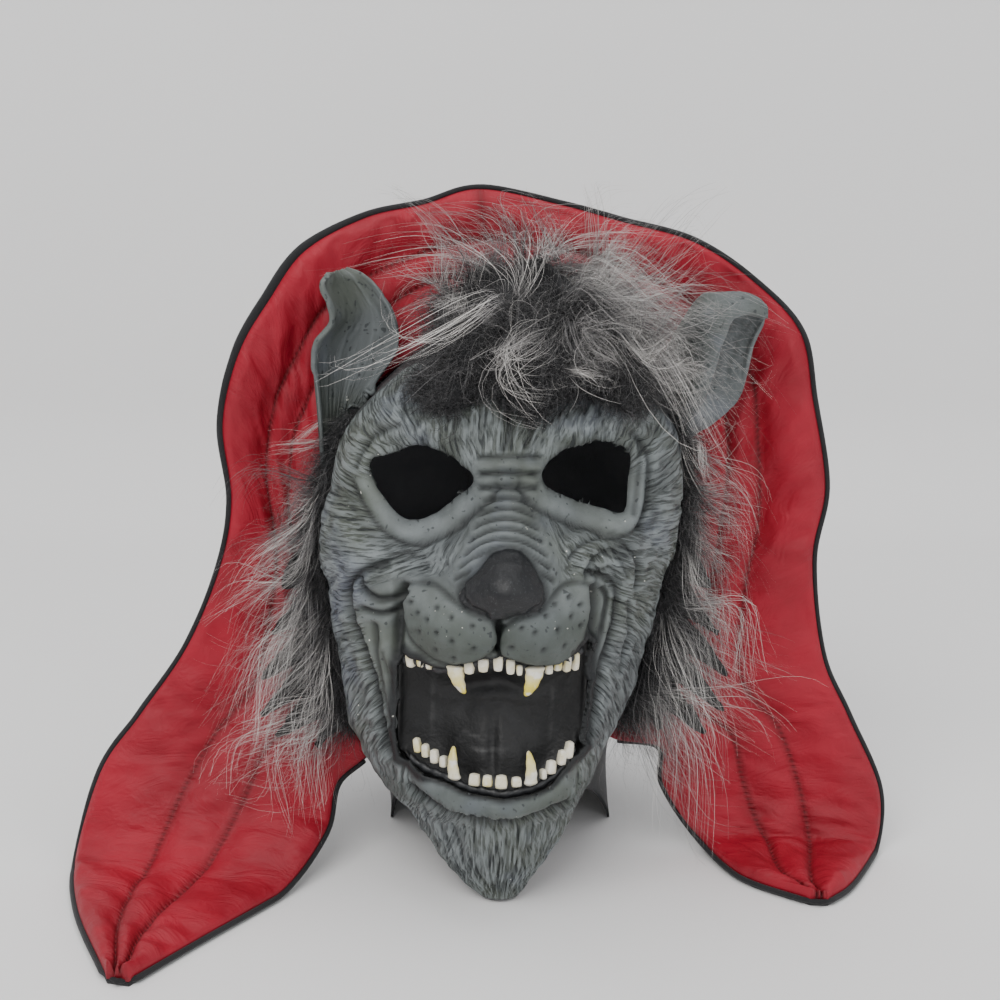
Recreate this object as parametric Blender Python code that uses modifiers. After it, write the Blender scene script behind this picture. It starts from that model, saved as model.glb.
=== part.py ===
# Werewolf costume mask: a hollow latex wolf face that stands on its chin, faux fur round it,
# and a padded hood spread behind it, whose two tails lie on the table.
# Metres, +Z up, the face looks along -Y. Left and right are the viewer's.

import math

import bmesh
import bpy
from mathutils import Vector

# Face
faceHeight = 0.285
faceWidth = 0.178
faceDepth = 0.080
faceWall = 0.003
faceRoundness = 0.8
leanBack = 10.0
rollAside = 1.6
faceColumns = 20
faceRowsMade = 28

# Head back, the black cloth from the face's rear edge to the nape
backWall = 0.0015
backStart = 0.045
backReach = 0.062
hemHalf = 0.062
hemFront = 0.080
hemBack = 0.185
backColumns = 32
edgeCornerColumn = 14
backRows = 8
backRowCrowding = 1.7
backFlare = (0.10, 0.34)
backLowReach = 0.75
hemSquareness = 0.7
napeBulge = 0.012
napeLow = (0.35, 0.45)

# Hood
hoodHalfWidth = 0.200
hoodHeight = 0.350
hoodDepth = 0.100
hoodSeat = 0.22
hoodClear = 0.0024
padThin = 0.0030
padThick = 0.0085
shellWall = 0.0020
pipingRadius = 0.0018
hoodColumns = 48
hoodRows = 8
tailPipingSteps = 8
pipingRound = 1
pipingCorner = 1.4

# Ears
earWall = 0.0025
leftEarHeight = 0.071
rightEarHeight = 0.080
earDepth = 0.030
earColumns = (8, 10)
earRows = 9
leftEarFlatness = 0.80
leftEarBlend = (0.25, 0.50)
rightEarBlend = 0.30

# Mouth
linerWall = 0.0015
mouthDepth = 0.026
mouthSteps = 14
linerClear = 0.0036
linerMargin = 0.022
linerColumns = 12
linerRows = 8
tongueRise = 0.45
tonguePlace = (0.50, 0.30)
tongueSpread = 0.22
gumHeight = 0.0035
gumWall = 0.0030
toothLength = 0.0050
toothPitch = 0.0052
upperFangLength = 0.0130
upperFangRadius = 0.0042
lowerFangLength = 0.0165
lowerFangRadius = 0.0034
upperFangs = (-0.130, 0.062)
lowerFangs = (-0.150, 0.070)
lipClear = 0.0008
lipInset = 0.0012
lipEvening = 0.035
teethEndGaps = (0.035, 0.045)
toothStops = (0.0, 0.22, 0.78, 1.0)
fangBend = 0.10
fangSteps = 6
fangTip = 0.12

# Fur
furRoot = 0.006
furLength = 0.034
furForward = 0.45
furTipThickness = 0.1
lockDepth = 0.28
crestHeight = 0.048
crestEdgeThickness = 0.06
crestLockDepth = 0.14

# Clearances: between touching pieces, and under what stands on a rounded piece
gap = 0.0004
seatClear = 0.0009
earClear = 0.00145

# How far apart, as shares of a surface, the points lie that give its slope
slopeStep = 0.004
sharpAngle = 50

# Face sections from the chin up: height is a share of faceHeight, left and right are half
# widths as shares of faceWidth, rear, front and snout are shares of faceDepth, and snoutHalf
# is a share of faceWidth.
faceColumnNames = ("height", "left", "right", "rear", "front", "snout", "snoutHalf")
faceSections = [
    (0.000, 0.060, 0.055, 0.08, 0.22, 0.02, 0.10),
    (0.044, 0.143, 0.105, 0.04, 0.30, 0.06, 0.14),
    (0.084, 0.197, 0.152, 0.02, 0.35, 0.10, 0.18),
    (0.135, 0.250, 0.191, 0.00, 0.40, 0.14, 0.21),
    (0.181, 0.315, 0.230, -0.03, 0.45, 0.17, 0.24),
    (0.221, 0.371, 0.264, -0.06, 0.50, 0.18, 0.26),
    (0.277, 0.427, 0.303, -0.10, 0.54, 0.16, 0.26),
    (0.325, 0.461, 0.343, -0.12, 0.57, 0.14, 0.26),
    (0.405, 0.483, 0.388, -0.14, 0.60, 0.16, 0.26),
    (0.488, 0.506, 0.421, -0.15, 0.62, 0.24, 0.25),
    (0.568, 0.530, 0.449, -0.15, 0.64, 0.28, 0.21),
    (0.625, 0.555, 0.478, -0.15, 0.65, 0.27, 0.17),
    (0.691, 0.545, 0.492, -0.14, 0.66, 0.20, 0.13),
    (0.756, 0.520, 0.495, -0.13, 0.66, 0.12, 0.105),
    (0.826, 0.500, 0.478, -0.10, 0.62, 0.04, 0.10),
    (0.879, 0.448, 0.440, -0.07, 0.53, 0.00, 0.10),
    (0.950, 0.330, 0.325, -0.02, 0.34, 0.00, 0.10),
    (1.000, 0.200, 0.200, 0.04, 0.17, 0.00, 0.10),
]

# Raised and sunk forms of the face: across and halfAcross are shares of faceWidth, up and
# halfUp of faceHeight, turn is in degrees, and rise is a share of faceDepth.
formColumnNames = ("across", "up", "halfAcross", "halfUp", "turn", "rise")
faceForms = {
    "browLeft": (-0.255, 0.872, 0.150, 0.030, -12.0, 0.130),
    "browRight": (0.235, 0.874, 0.150, 0.030, 12.0, 0.130),
    "socketLeft": (-0.245, 0.762, 0.150, 0.060, -6.0, -0.230),
    "socketRight": (0.215, 0.772, 0.150, 0.060, 6.0, -0.230),
    "bagLeft": (-0.250, 0.662, 0.130, 0.022, -16.0, 0.070),
    "bagRight": (0.230, 0.668, 0.120, 0.022, 16.0, 0.070),
    "noseBall": (-0.010, 0.603, 0.105, 0.042, 0.0, 0.170),
    "padLeft": (-0.145, 0.522, 0.100, 0.046, 0.0, 0.130),
    "padRight": (0.100, 0.518, 0.095, 0.044, 0.0, 0.130),
    "lipCleft": (-0.022, 0.510, 0.022, 0.030, 0.0, -0.090),
    "cheekLeft": (-0.430, 0.620, 0.090, 0.050, 0.0, 0.060),
    "cheekRight": (0.300, 0.640, 0.060, 0.040, 0.0, 0.080),
    "foldLeft": (-0.300, 0.545, 0.040, 0.070, 12.0, -0.090),
    "foldRight": (0.250, 0.555, 0.035, 0.060, -12.0, -0.090),
    "lipLower": (-0.030, 0.208, 0.220, 0.026, 0.0, 0.090),
    "chinDent": (-0.020, 0.158, 0.170, 0.018, 0.0, -0.040),
    "foreheadCleft": (0.000, 0.900, 0.030, 0.050, 0.0, -0.030),
}

# Eye holes, points round each as shares of faceWidth and faceHeight
eyeHoles = {
    "eye_hole_left": [
        (-0.390, 0.808), (-0.345, 0.816), (-0.250, 0.836), (-0.170, 0.815), (-0.098, 0.780),
        (-0.150, 0.744), (-0.227, 0.708), (-0.300, 0.706), (-0.365, 0.745), (-0.396, 0.780),
    ],
    "eye_hole_right": [
        (0.073, 0.790), (0.112, 0.818), (0.188, 0.840), (0.260, 0.842), (0.322, 0.818),
        (0.322, 0.765), (0.310, 0.716), (0.250, 0.722), (0.160, 0.740), (0.090, 0.765),
    ],
}

# The open mouth: across is a share of faceWidth, top and bottom are shares of faceHeight
mouthColumnNames = ("across", "top", "bottom")
mouthEdge = [
    (-0.300, 0.462, 0.300),
    (-0.255, 0.466, 0.270),
    (-0.210, 0.458, 0.255),
    (-0.165, 0.458, 0.248),
    (-0.100, 0.474, 0.234),
    (-0.045, 0.482, 0.230),
    (-0.020, 0.486, 0.227),
    (0.005, 0.482, 0.226),
    (0.045, 0.470, 0.230),
    (0.090, 0.465, 0.234),
    (0.140, 0.472, 0.250),
    (0.180, 0.480, 0.276),
    (0.222, 0.498, 0.318),
]

# Hood stations from the left tail's tip, over the top, to the right tail's tip. Shares of
# hoodHalfWidth, hoodDepth and hoodHeight for the outer edge and, on the tails, the inner
# edge. Higher up the inner edge sits on the head back, at the share "seat" of its length.
# bow is how far the middle lies behind its edges, a share of hoodDepth.
hoodColumnNames = ("outX", "outY", "outZ", "inX", "inY", "inZ", "seat", "bow")
hoodStations = [
    (-0.940, -0.960, 0.000, -0.885, -0.990, 0.000, None, 0.00),
    (-1.075, -0.330, 0.000, -0.750, -0.620, 0.000, None, 0.00),
    (-1.130, 0.170, 0.014, -0.575, -0.160, 0.000, None, 0.00),
    (-1.068, 0.350, 0.143, -0.465, 0.170, 0.062, None, 0.05),
    (-0.964, 0.450, 0.226, -0.435, 0.330, 0.125, None, 0.08),
    (-0.840, 0.550, 0.325, None, None, None, 0.045, 0.10),
    (-0.749, 0.600, 0.446, None, None, None, 0.090, 0.12),
    (-0.715, 0.650, 0.548, None, None, None, 0.150, 0.14),
    (-0.734, 0.700, 0.665, None, None, None, 0.215, 0.14),
    (-0.688, 0.750, 0.772, None, None, None, 0.275, 0.14),
    (-0.607, 0.800, 0.850, None, None, None, 0.320, 0.12),
    (-0.512, 0.850, 0.921, None, None, None, 0.360, 0.12),
    (-0.351, 0.900, 0.968, None, None, None, 0.400, 0.10),
    (-0.197, 0.900, 0.988, None, None, None, 0.440, 0.10),
    (-0.052, 0.900, 1.010, None, None, None, 0.490, 0.10),
    (0.156, 0.900, 0.987, None, None, None, 0.530, 0.10),
    (0.318, 0.900, 0.962, None, None, None, 0.570, 0.10),
    (0.505, 0.880, 0.933, None, None, None, 0.610, 0.12),
    (0.661, 0.850, 0.876, None, None, None, 0.645, 0.12),
    (0.788, 0.800, 0.801, None, None, None, 0.690, 0.14),
    (0.827, 0.750, 0.699, None, None, None, 0.745, 0.14),
    (0.866, 0.700, 0.566, None, None, None, 0.815, 0.14),
    (0.837, 0.650, 0.454, None, None, None, 0.880, 0.12),
    (0.870, 0.600, 0.306, None, None, None, 0.940, 0.10),
    (0.945, 0.550, 0.210, 0.430, 0.500, 0.165, None, 0.08),
    (1.033, 0.480, 0.096, 0.445, 0.500, 0.100, None, 0.05),
    (1.017, 0.340, 0.010, 0.540, 0.420, 0.020, None, 0.00),
    (0.921, -0.040, 0.000, 0.640, 0.040, 0.000, None, 0.00),
    (0.845, -0.215, 0.000, 0.800, -0.210, 0.000, None, 0.00),
]

# Quilting seams across the hood, shares of the way from the inner to the outer edge
quiltSeams = (0.0, 0.375, 0.625, 1.0)

# Left ear, rows from the root to the tip: up, outer and inner are shares of leftEarHeight from
# the ear's root, forward and cup are shares of earDepth.
leftEarNames = ("up", "outer", "inner", "forward", "cup")
leftEarRows = [
    (0.00, -0.18, 0.20, 0.00, 0.20),
    (0.28, -0.19, 0.31, 0.05, 0.50),
    (0.50, -0.16, 0.46, 0.12, 0.60),
    (0.66, -0.04, 0.39, 0.20, 0.58),
    (0.80, -0.06, 0.30, 0.34, 0.50),
    (0.90, -0.10, 0.23, 0.48, 0.42),
    (1.00, -0.07, 0.06, 0.60, 0.20),
]
leftEarRoot = (-0.455056, 0.75, 0.866667)  # shares of the face's width, depth and height
leftEarSeat = (0.29, 0.39)

# Right ear, a leaf folded along its top, from the head to the tip: out, ridge, front and back
# are shares of rightEarHeight from the ear's root, spread is a share of earDepth.
rightEarNames = ("out", "ridge", "front", "back", "spread")
rightEarRows = [
    (0.00, 0.88, 0.14, -0.06, 0.40),
    (0.12, 0.90, 0.20, -0.02, 0.60),
    (0.18, 0.91, 0.32, 0.00, 0.80),
    (0.24, 0.91, 0.53, 0.03, 0.86),
    (0.29, 0.91, 0.74, 0.07, 0.84),
    (0.36, 0.91, 0.81, 0.14, 0.76),
    (0.43, 0.90, 0.82, 0.25, 0.62),
    (0.48, 0.88, 0.80, 0.52, 0.40),
    (0.55, 0.84, 0.78, 0.74, 0.16),
]
rightEarRoot = (0.511236, 0.675, 0.808772)
rightEarSeat = (0.61, 0.675)
earSeatNear = 0.08
earSeatFar = 0.15

# Fur at the sides: along is a share of the head back's edge, reach a share of furLength
furColumnNames = ("along", "reach")
furSides = {
    "fur_left": [
        (0.08, 0.50), (0.11, 1.00), (0.15, 1.20), (0.19, 1.00), (0.23, 0.65), (0.27, 0.30),
    ],
    "fur_right": [
        (0.73, 0.30), (0.77, 0.70), (0.81, 1.10), (0.85, 1.20), (0.88, 0.95), (0.90, 0.50),
    ],
}
furSeat = 0.09
furColumns = 24
furRows = 3
furLocks = 6
furDroop = 0.60
crestSpan = (-0.50, 0.95)
crestSeat = (0.44, 0.57)
crestClear = 0.0030
crestFront = 0.905
crestFringe = 0.018
crestLocks = 3.5
crestColumns = 16
crestRows = 8

root = None


def clearScene():
    for item in list(bpy.data.objects):
        bpy.data.objects.remove(item, do_unlink=True)


def makeCollection(name):
    made = bpy.data.collections.new(name)
    bpy.context.scene.collection.children.link(made)
    return made


def makeMaterial(name, colour, roughness, metallic=0.0):
    made = bpy.data.materials.new(name)
    made.use_nodes = True
    shader = made.node_tree.nodes["Principled BSDF"]
    shader.inputs["Base Color"].default_value = (*colour, 1.0)
    shader.inputs["Roughness"].default_value = roughness
    shader.inputs["Metallic"].default_value = metallic
    return made


def addObject(name, mesh, collection, material=None):
    made = bpy.data.objects.new(name, mesh)
    collection.objects.link(made)
    if material:
        mesh.materials.append(material)
    if root:
        made.parent = root
    return made


# Smooth curve through (key, value) pairs
def smoothAt(keys, values, at):
    last = len(keys) - 1
    at = min(max(at, keys[0]), keys[last])
    low = 0
    while low < last - 1 and at > keys[low + 1]:
        low += 1
    high = low + 1
    before = max(low - 1, 0)
    after = min(high + 1, last)
    span = keys[high] - keys[low]
    share = (at - keys[low]) / span
    slopeLow = (values[high] - values[before]) / (keys[high] - keys[before])
    slopeHigh = (values[after] - values[low]) / (keys[after] - keys[low])
    square = share * share
    cube = square * share
    return (
        (2 * cube - 3 * square + 1) * values[low]
        + (cube - 2 * square + share) * span * slopeLow
        + (3 * square - 2 * cube) * values[high]
        + (cube - square) * span * slopeHigh
    )


def columnAt(names, rows, name, at):
    key = [row[0] for row in rows]
    column = [row[names.index(name)] for row in rows]
    return smoothAt(key, column, at)


def bell(distance):
    return math.exp(-distance * distance)


# Face form: side runs from -1 at the left edge to 1 at the right one, height from 0 to 1
def faceForm(side, height):
    def look(name):
        return columnAt(faceColumnNames, faceSections, name, height)

    turn = side * math.pi / 2
    half = look("left") if side < 0 else look("right")
    across = half * math.sin(turn)
    bulge = max(math.cos(turn), 0.0) ** faceRoundness
    out = look("rear") + (look("front") - look("rear")) * bulge
    out += look("snout") * bell(across / look("snoutHalf")) * min(1.0, bulge * 1.5)
    for row in faceForms.values():
        form = dict(zip(formColumnNames, row))
        away = (across - form["across"]) * faceWidth
        above = (height - form["up"]) * faceHeight
        cosine = math.cos(math.radians(form["turn"]))
        sine = math.sin(math.radians(form["turn"]))
        along = (away * cosine + above * sine) / (form["halfAcross"] * faceWidth)
        over = (above * cosine - away * sine) / (form["halfUp"] * faceHeight)
        out += form["rise"] * bell(along) * bell(over) * min(1.0, bulge * 2.0)
    return across * faceWidth, height * faceHeight, out * faceDepth


# From the face's own frame (across, up, out) to the model's
def faceToWorld(across, up, out):
    lean = math.radians(leanBack)
    x = across + math.tan(math.radians(rollAside)) * up
    y = up * math.sin(lean) - out * math.cos(lean)
    z = up * math.cos(lean) + out * math.sin(lean)
    chinRear = faceSections[0][faceColumnNames.index("rear")] * faceDepth
    return Vector((x, y, z - chinRear * math.sin(lean)))


def facePoint(side, height):
    return faceToWorld(*faceForm(side, height))


def faceNormal(side, height):
    step = slopeStep
    right = facePoint(min(side + step, 1), height) - facePoint(max(side - step, -1), height)
    up = facePoint(side, min(height + step, 1)) - facePoint(side, max(height - step, 0))
    return right.cross(up).normalized()


# The side value whose point lies at an across value, in shares of faceWidth
def sideAt(across, height):
    name = "left" if across < 0 else "right"
    half = columnAt(faceColumnNames, faceSections, name, height)
    return math.asin(min(max(across / half, -1.0), 1.0)) / (math.pi / 2)


# An open sheet of columns by rows, each corner placed by a function of two shares
def gridMesh(name, columns, rows, place):
    mesh = bpy.data.meshes.new(name)
    bm = bmesh.new()
    bmesh.ops.create_grid(bm, x_segments=columns, y_segments=rows, size=0.5)
    for vert in bm.verts:
        vert.co = place(vert.co.x + 0.5, vert.co.y + 0.5)
    bm.normal_update()
    bm.to_mesh(mesh)
    bm.free()
    return mesh


def addSolidify(item, thickness, offset):
    made = item.modifiers.new("wall", "SOLIDIFY")
    made.thickness = thickness
    made.offset = offset
    made.use_rim = True
    return made


# Lifts what lies inside or close to a neighbour off that neighbour's surface
def keepOff(item, names, distance):
    for name in names:
        made = item.modifiers.new("clear of " + name, "SHRINKWRAP")
        made.target = bpy.data.objects[name]
        made.wrap_method = "NEAREST_SURFACEPOINT"
        made.wrap_mode = "OUTSIDE"
        made.offset = distance


def shadeRound(item):
    item.data.shade_smooth()
    item.data.set_sharp_from_angle(angle=math.radians(sharpAngle))


# A cutter in the face's frame: a closed outline drawn in shares and extruded along out
def outlineCutter(name, outline, cutters):
    curve = bpy.data.curves.new(name, "CURVE")
    curve.dimensions = "2D"
    curve.fill_mode = "BOTH"
    curve.extrude = faceDepth * 1.2
    curve.resolution_u = 3
    spline = curve.splines.new("BEZIER")
    spline.bezier_points.add(len(outline) - 1)
    for point, (across, up) in zip(spline.bezier_points, outline):
        point.co = (across * faceWidth, up * faceHeight, 0)
        point.handle_left_type = "AUTO"
        point.handle_right_type = "AUTO"
    spline.use_cyclic_u = True
    drawn = bpy.data.objects.new(name, curve)
    bpy.context.scene.collection.objects.link(drawn)
    bpy.context.view_layer.update()
    ready = drawn.evaluated_get(bpy.context.evaluated_depsgraph_get())
    mesh = bpy.data.meshes.new_from_object(ready)
    bpy.data.objects.remove(drawn, do_unlink=True)
    bm = bmesh.new()
    bm.from_mesh(mesh)
    bmesh.ops.remove_doubles(bm, verts=bm.verts, dist=0.00001)
    for vert in bm.verts:
        vert.co = faceToWorld(vert.co.x, vert.co.y, vert.co.z)
    bmesh.ops.recalc_face_normals(bm, faces=bm.faces)
    bm.to_mesh(mesh)
    bm.free()
    cutter = addObject(name, mesh, cutters)
    cutter.hide_render = True
    cutter.display_type = "WIRE"
    return cutter


def mouthTop(across):
    return columnAt(mouthColumnNames, mouthEdge, "top", across)


def mouthBottom(across):
    return columnAt(mouthColumnNames, mouthEdge, "bottom", across)


def mouthOutline():
    first = mouthEdge[0][0]
    span = mouthEdge[-1][0] - first
    stops = [first + span * step / mouthSteps for step in range(mouthSteps + 1)]
    top = [(across, mouthTop(across)) for across in stops]
    bottom = [(across, mouthBottom(across)) for across in reversed(stops)]
    return top + bottom


def buildFace(parts, cutters, materials):
    def place(column, row):
        return facePoint(column * 2 - 1, row)

    mesh = gridMesh("face_shell", faceColumns, faceRowsMade, place)
    face = addObject("face_shell", mesh, parts, materials["latex"])
    addSolidify(face, faceWall, -1)
    outlines = dict(eyeHoles)
    outlines["mouth_hole"] = mouthOutline()
    for name, outline in outlines.items():
        cut = face.modifiers.new(name, "BOOLEAN")
        cut.operation = "DIFFERENCE"
        cut.object = outlineCutter(name, outline, cutters)
    shadeRound(face)


# The face's rear edge, along from 0 at the left jaw, over the forehead, to 1 at the right jaw,
# and how far the wall behind it reaches back
def faceEdge(along):
    start = backStart / faceHeight
    corner = edgeCornerColumn / backColumns
    if along < corner:
        side = -1
        height = start + (1 - start) * along / corner
    elif along > 1 - corner:
        side = 1
        height = start + (1 - start) * (1 - along) / corner
    else:
        side = (along - 0.5) / (0.5 - corner)
        height = 1
    normal = faceNormal(side, height)
    return facePoint(side, height), max(0.0, -normal.dot(backward())) * faceWall


def backward():
    lean = math.radians(leanBack)
    return Vector((0, math.cos(lean), -math.sin(lean)))


# The head back's outer face: along as on the face's edge, back from 0 there to 1 at the hem
def backPoint(along, back):
    edge, wallReach = faceEdge(along)
    centre = Vector((0.0, edge.y, faceHeight * 0.55))
    out = (edge - centre).normalized()
    lift = min(max((edge.z / faceHeight - 0.35) / 0.35, 0.0), 1.0)
    lowFlare, highFlare = backFlare
    leave = (Vector((0, 1, 0)) + out * (lowFlare + (highFlare - lowFlare) * lift)).normalized()
    reach = backReach * (backLowReach + (1 - backLowReach) * lift)
    turn = math.pi * along
    sweep = math.sin(turn)
    hem = Vector((
        -hemHalf * math.copysign(abs(math.cos(turn)) ** hemSquareness, math.cos(turn)),
        hemFront + (hemBack - hemFront) * sweep,
        0.0,
    ))
    sideLow, middleMore = napeLow
    low = hem + Vector((0, napeBulge * sweep, edge.z * (sideLow + middleMore * sweep)))
    start = edge + backward() * (2 * gap + wallReach)
    points = (start, start + backward() * reach * 0.25, start + leave * reach, low, hem)
    rest = 1 - back
    weights = (
        rest ** 4,
        4 * rest ** 3 * back,
        6 * rest ** 2 * back ** 2,
        4 * rest * back ** 3,
        back ** 4,
    )
    return sum((point * weight for point, weight in zip(points, weights)), Vector())


def backNormal(along, back):
    step = slopeStep
    side = backPoint(min(along + step, 1), back) - backPoint(max(along - step, 0), back)
    behind = backPoint(along, min(back + step, 1)) - backPoint(along, max(back - step, 0))
    return side.cross(behind).normalized()


def buildHeadBack(parts, materials):
    def place(along, row):
        return backPoint(along, row ** backRowCrowding)

    mesh = gridMesh("head_back", backColumns, backRows, place)
    back = addObject("head_back", mesh, parts, materials["black cloth"])
    addSolidify(back, backWall, -1)
    shadeRound(back)


# The hood's inner and outer edges at each station
def hoodEdges():
    floor = shellWall + gap
    inner = []
    outer = []
    for row in hoodStations:
        look = dict(zip(hoodColumnNames, row))
        if look["seat"] is None:
            place = Vector((
                look["inX"] * hoodHalfWidth,
                look["inY"] * hoodDepth,
                max(look["inZ"] * hoodHeight, floor),
            ))
        else:
            away = backNormal(look["seat"], hoodSeat) * (shellWall + hoodClear)
            place = backPoint(look["seat"], hoodSeat) + away
        inner.append(place)
        outer.append(Vector((
            look["outX"] * hoodHalfWidth,
            look["outY"] * hoodDepth,
            max(look["outZ"] * hoodHeight, floor),
        )))
    return inner, outer


# Middle surface between lining and shell: along the stations, over from inner to outer edge
def hoodPoint(along, over, edges):
    inner, outer = edges
    at = along * (len(hoodStations) - 1)
    keys = list(range(len(hoodStations)))
    bow = smoothAt(keys, [row[-1] for row in hoodStations], at) * hoodDepth
    point = Vector()
    for axis in range(3):
        first = smoothAt(keys, [place[axis] for place in inner], at)
        last = smoothAt(keys, [place[axis] for place in outer], at)
        point[axis] = first + (last - first) * over
    point.y += bow * 4 * over * (1 - over)
    point.z = max(point.z, shellWall + gap)
    return point


# Share of the full padding at a share of the way across the hood
def quiltShare(over):
    for low, high in zip(quiltSeams, quiltSeams[1:]):
        if over <= high + 0.0001:
            middle = min(max((over - low) / (high - low), 0.0), 1.0)
            return math.sqrt(max(0.0, math.sin(math.pi * middle)))
    return 0.0


def buildHood(parts, materials):
    edges = hoodEdges()

    def place(along, over):
        return hoodPoint(along, over, edges)

    mesh = gridMesh("hood_lining", hoodColumns, hoodRows, place)
    lining = addObject("hood_lining", mesh, parts, materials["red satin"])
    group = lining.vertex_groups.new(name="padding")
    for index in range(len(mesh.vertices)):
        over = (index // (hoodColumns + 1)) / hoodRows
        group.add([index], quiltShare(over), "REPLACE")
    pad = addSolidify(lining, padThick, 1)
    pad.vertex_group = "padding"
    pad.thickness_vertex_group = padThin / padThick
    shadeRound(lining)

    shellMesh = mesh.copy()
    shellMesh.name = "hood_shell"
    shellMesh.materials.clear()
    for vert in shellMesh.vertices:
        vert.co = vert.co - mesh.vertices[vert.index].normal * gap
    shell = addObject("hood_shell", shellMesh, parts, materials["black cloth"])
    addSolidify(shell, shellWall, -1)
    shadeRound(shell)


# A round bar along points, its radius at each point a share of the full one
def addBar(name, points, radius, shares, parts, material, closeness):
    curve = bpy.data.curves.new(name, "CURVE")
    curve.dimensions = "3D"
    curve.bevel_depth = radius
    curve.bevel_resolution = round(closeness)
    curve.use_fill_caps = True
    spline = curve.splines.new("POLY")
    spline.points.add(len(points) - 1)
    for spot, point, share in zip(spline.points, points, shares):
        spot.co = (*point, 1.0)
        spot.radius = share
    return addObject(name, curve, parts, material)


# The bound edge: from the left tail's inner edge round its tip, over the top, to the right's
def buildPiping(parts, materials):
    edges = hoodEdges()
    clear = pipingRadius + 2 * gap
    middle = pipingRadius * 1.15 + gap
    tailEnd = tailPipingSteps / hoodColumns
    points = []

    def edgePoint(along, over, inward):
        here = hoodPoint(along, over, edges)
        within = hoodPoint(along, inward, edges)
        step = slopeStep
        ahead = hoodPoint(min(along + step, 1), over, edges)
        behind = hoodPoint(max(along - step, 0), over, edges)
        tangent = (ahead - behind).normalized()
        away = here - within
        away = (away - tangent * away.dot(tangent)).normalized()
        if along in (0, 1):
            past = tangent if along == 1 else -tangent
            away = away + past
        point = here + away * clear
        point.z = max(point.z, middle)
        return point

    for step in range(tailPipingSteps + 1):
        points.append(edgePoint(tailEnd * (1 - step / tailPipingSteps), 0.0, 0.15))
    points.append(tipPoint(0.0, 1, edges, clear, middle))
    for step in range(hoodColumns + 1):
        points.append(edgePoint(step / hoodColumns, 1.0, 0.85))
    points.append(tipPoint(1.0, -1, edges, clear, middle))
    for step in range(tailPipingSteps + 1):
        points.append(edgePoint(1 - tailEnd * step / tailPipingSteps, 0.0, 0.15))
    addBar("hood_piping", points, pipingRadius, [1.0] * len(points), parts,
           materials["black cloth"], pipingRound)


# The piping's point beyond a tail's tip
def tipPoint(along, way, edges, clear, middle):
    here = hoodPoint(along, 0.5, edges)
    within = hoodPoint(along + way * 0.01, 0.5, edges)
    point = here + (here - within).normalized() * clear * pipingCorner
    point.z = max(point.z, middle)
    return point


def onFace(shares):
    across, back, up = shares
    return Vector((across * faceWidth, back * faceDepth, up * faceHeight))


def buildLeftEar(parts, materials):
    base = onFace(leftEarRoot)

    def place(column, row):
        def look(name):
            return columnAt(leftEarNames, leftEarRows, name, row)

        start, end = leftEarSeat
        seatAlong = start + (end - start) * column
        seatBack = earSeatNear + (earSeatFar - earSeatNear) * math.sin(math.pi * column)
        away = backNormal(seatAlong, seatBack) * earClear
        seat = backPoint(seatAlong, seatBack) + away
        across = look("outer") + (look("inner") - look("outer")) * column
        depth = look("forward") + look("cup") * (1 - math.sin(math.pi * column))
        depth *= 1 - leftEarFlatness * column
        free = base + Vector((across * leftEarHeight, -depth * earDepth, row * leftEarHeight))
        least, more = leftEarBlend
        share = min(row / (least + more * column), 1.0)
        share = share * share * (3 - 2 * share)
        return seat.lerp(free, share)

    mesh = gridMesh("ear_left", earColumns[0], earRows, place)
    ear = addObject("ear_left", mesh, parts, materials["latex"])
    addSolidify(ear, earWall, -1)
    keepOff(ear, ("head_back", "face_shell"), earClear)
    shadeRound(ear)


def buildRightEar(parts, materials):
    base = onFace(rightEarRoot)
    length = rightEarRows[-1][0]

    def place(column, row):
        def look(name):
            return columnAt(rightEarNames, rightEarRows, name, row * length)

        start, end = rightEarSeat
        fold = math.sin(math.pi * column)
        seatAlong = end - (end - start) * fold
        seatBack = earSeatNear + (earSeatFar - earSeatNear) * column
        away = backNormal(seatAlong, seatBack) * earClear
        seat = backPoint(seatAlong, seatBack) + away
        low = look("front") if column < 0.5 else look("back")
        up = low + (look("ridge") - low) * fold ** 0.7
        depth = look("spread") * math.cos(math.pi * column) * 0.5
        across = row * length
        free = base + Vector((across * rightEarHeight, -depth * earDepth, up * rightEarHeight))
        share = min(row / rightEarBlend, 1.0)
        share = share * share * (3 - 2 * share)
        return seat.lerp(free, share)

    mesh = gridMesh("ear_right", earColumns[1], earRows, place)
    ear = addObject("ear_right", mesh, parts, materials["latex"])
    addSolidify(ear, earWall, -1)
    keepOff(ear, ("head_back", "face_shell"), earClear)
    shadeRound(ear)


# The black pocket behind the mouth, its edge against the face's inner side
def buildMouthLiner(parts, materials):
    first = mouthEdge[0][0] - linerMargin
    last = mouthEdge[-1][0] + linerMargin
    tongueX, tongueUp = tonguePlace

    def place(column, row):
        across = first + (last - first) * column
        low = mouthBottom(across) - linerMargin
        high = mouthTop(across) + linerMargin
        height = low + (high - low) * row
        side = sideAt(across, height)
        inside = facePoint(side, height) - faceNormal(side, height) * (faceWall + linerClear)
        depth = (math.sin(math.pi * column) * math.sin(math.pi * row)) ** 0.5
        tongue = bell((column - tongueX) / tongueSpread) * bell((row - tongueUp) / tongueSpread)
        sink = mouthDepth * (depth - tongueRise * tongue)
        return inside + backward() * sink

    mesh = gridMesh("mouth_liner", linerColumns, linerRows, place)
    liner = addObject("mouth_liner", mesh, parts, materials["black cloth"])
    addSolidify(liner, linerWall, -1)
    shadeRound(liner)


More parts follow.
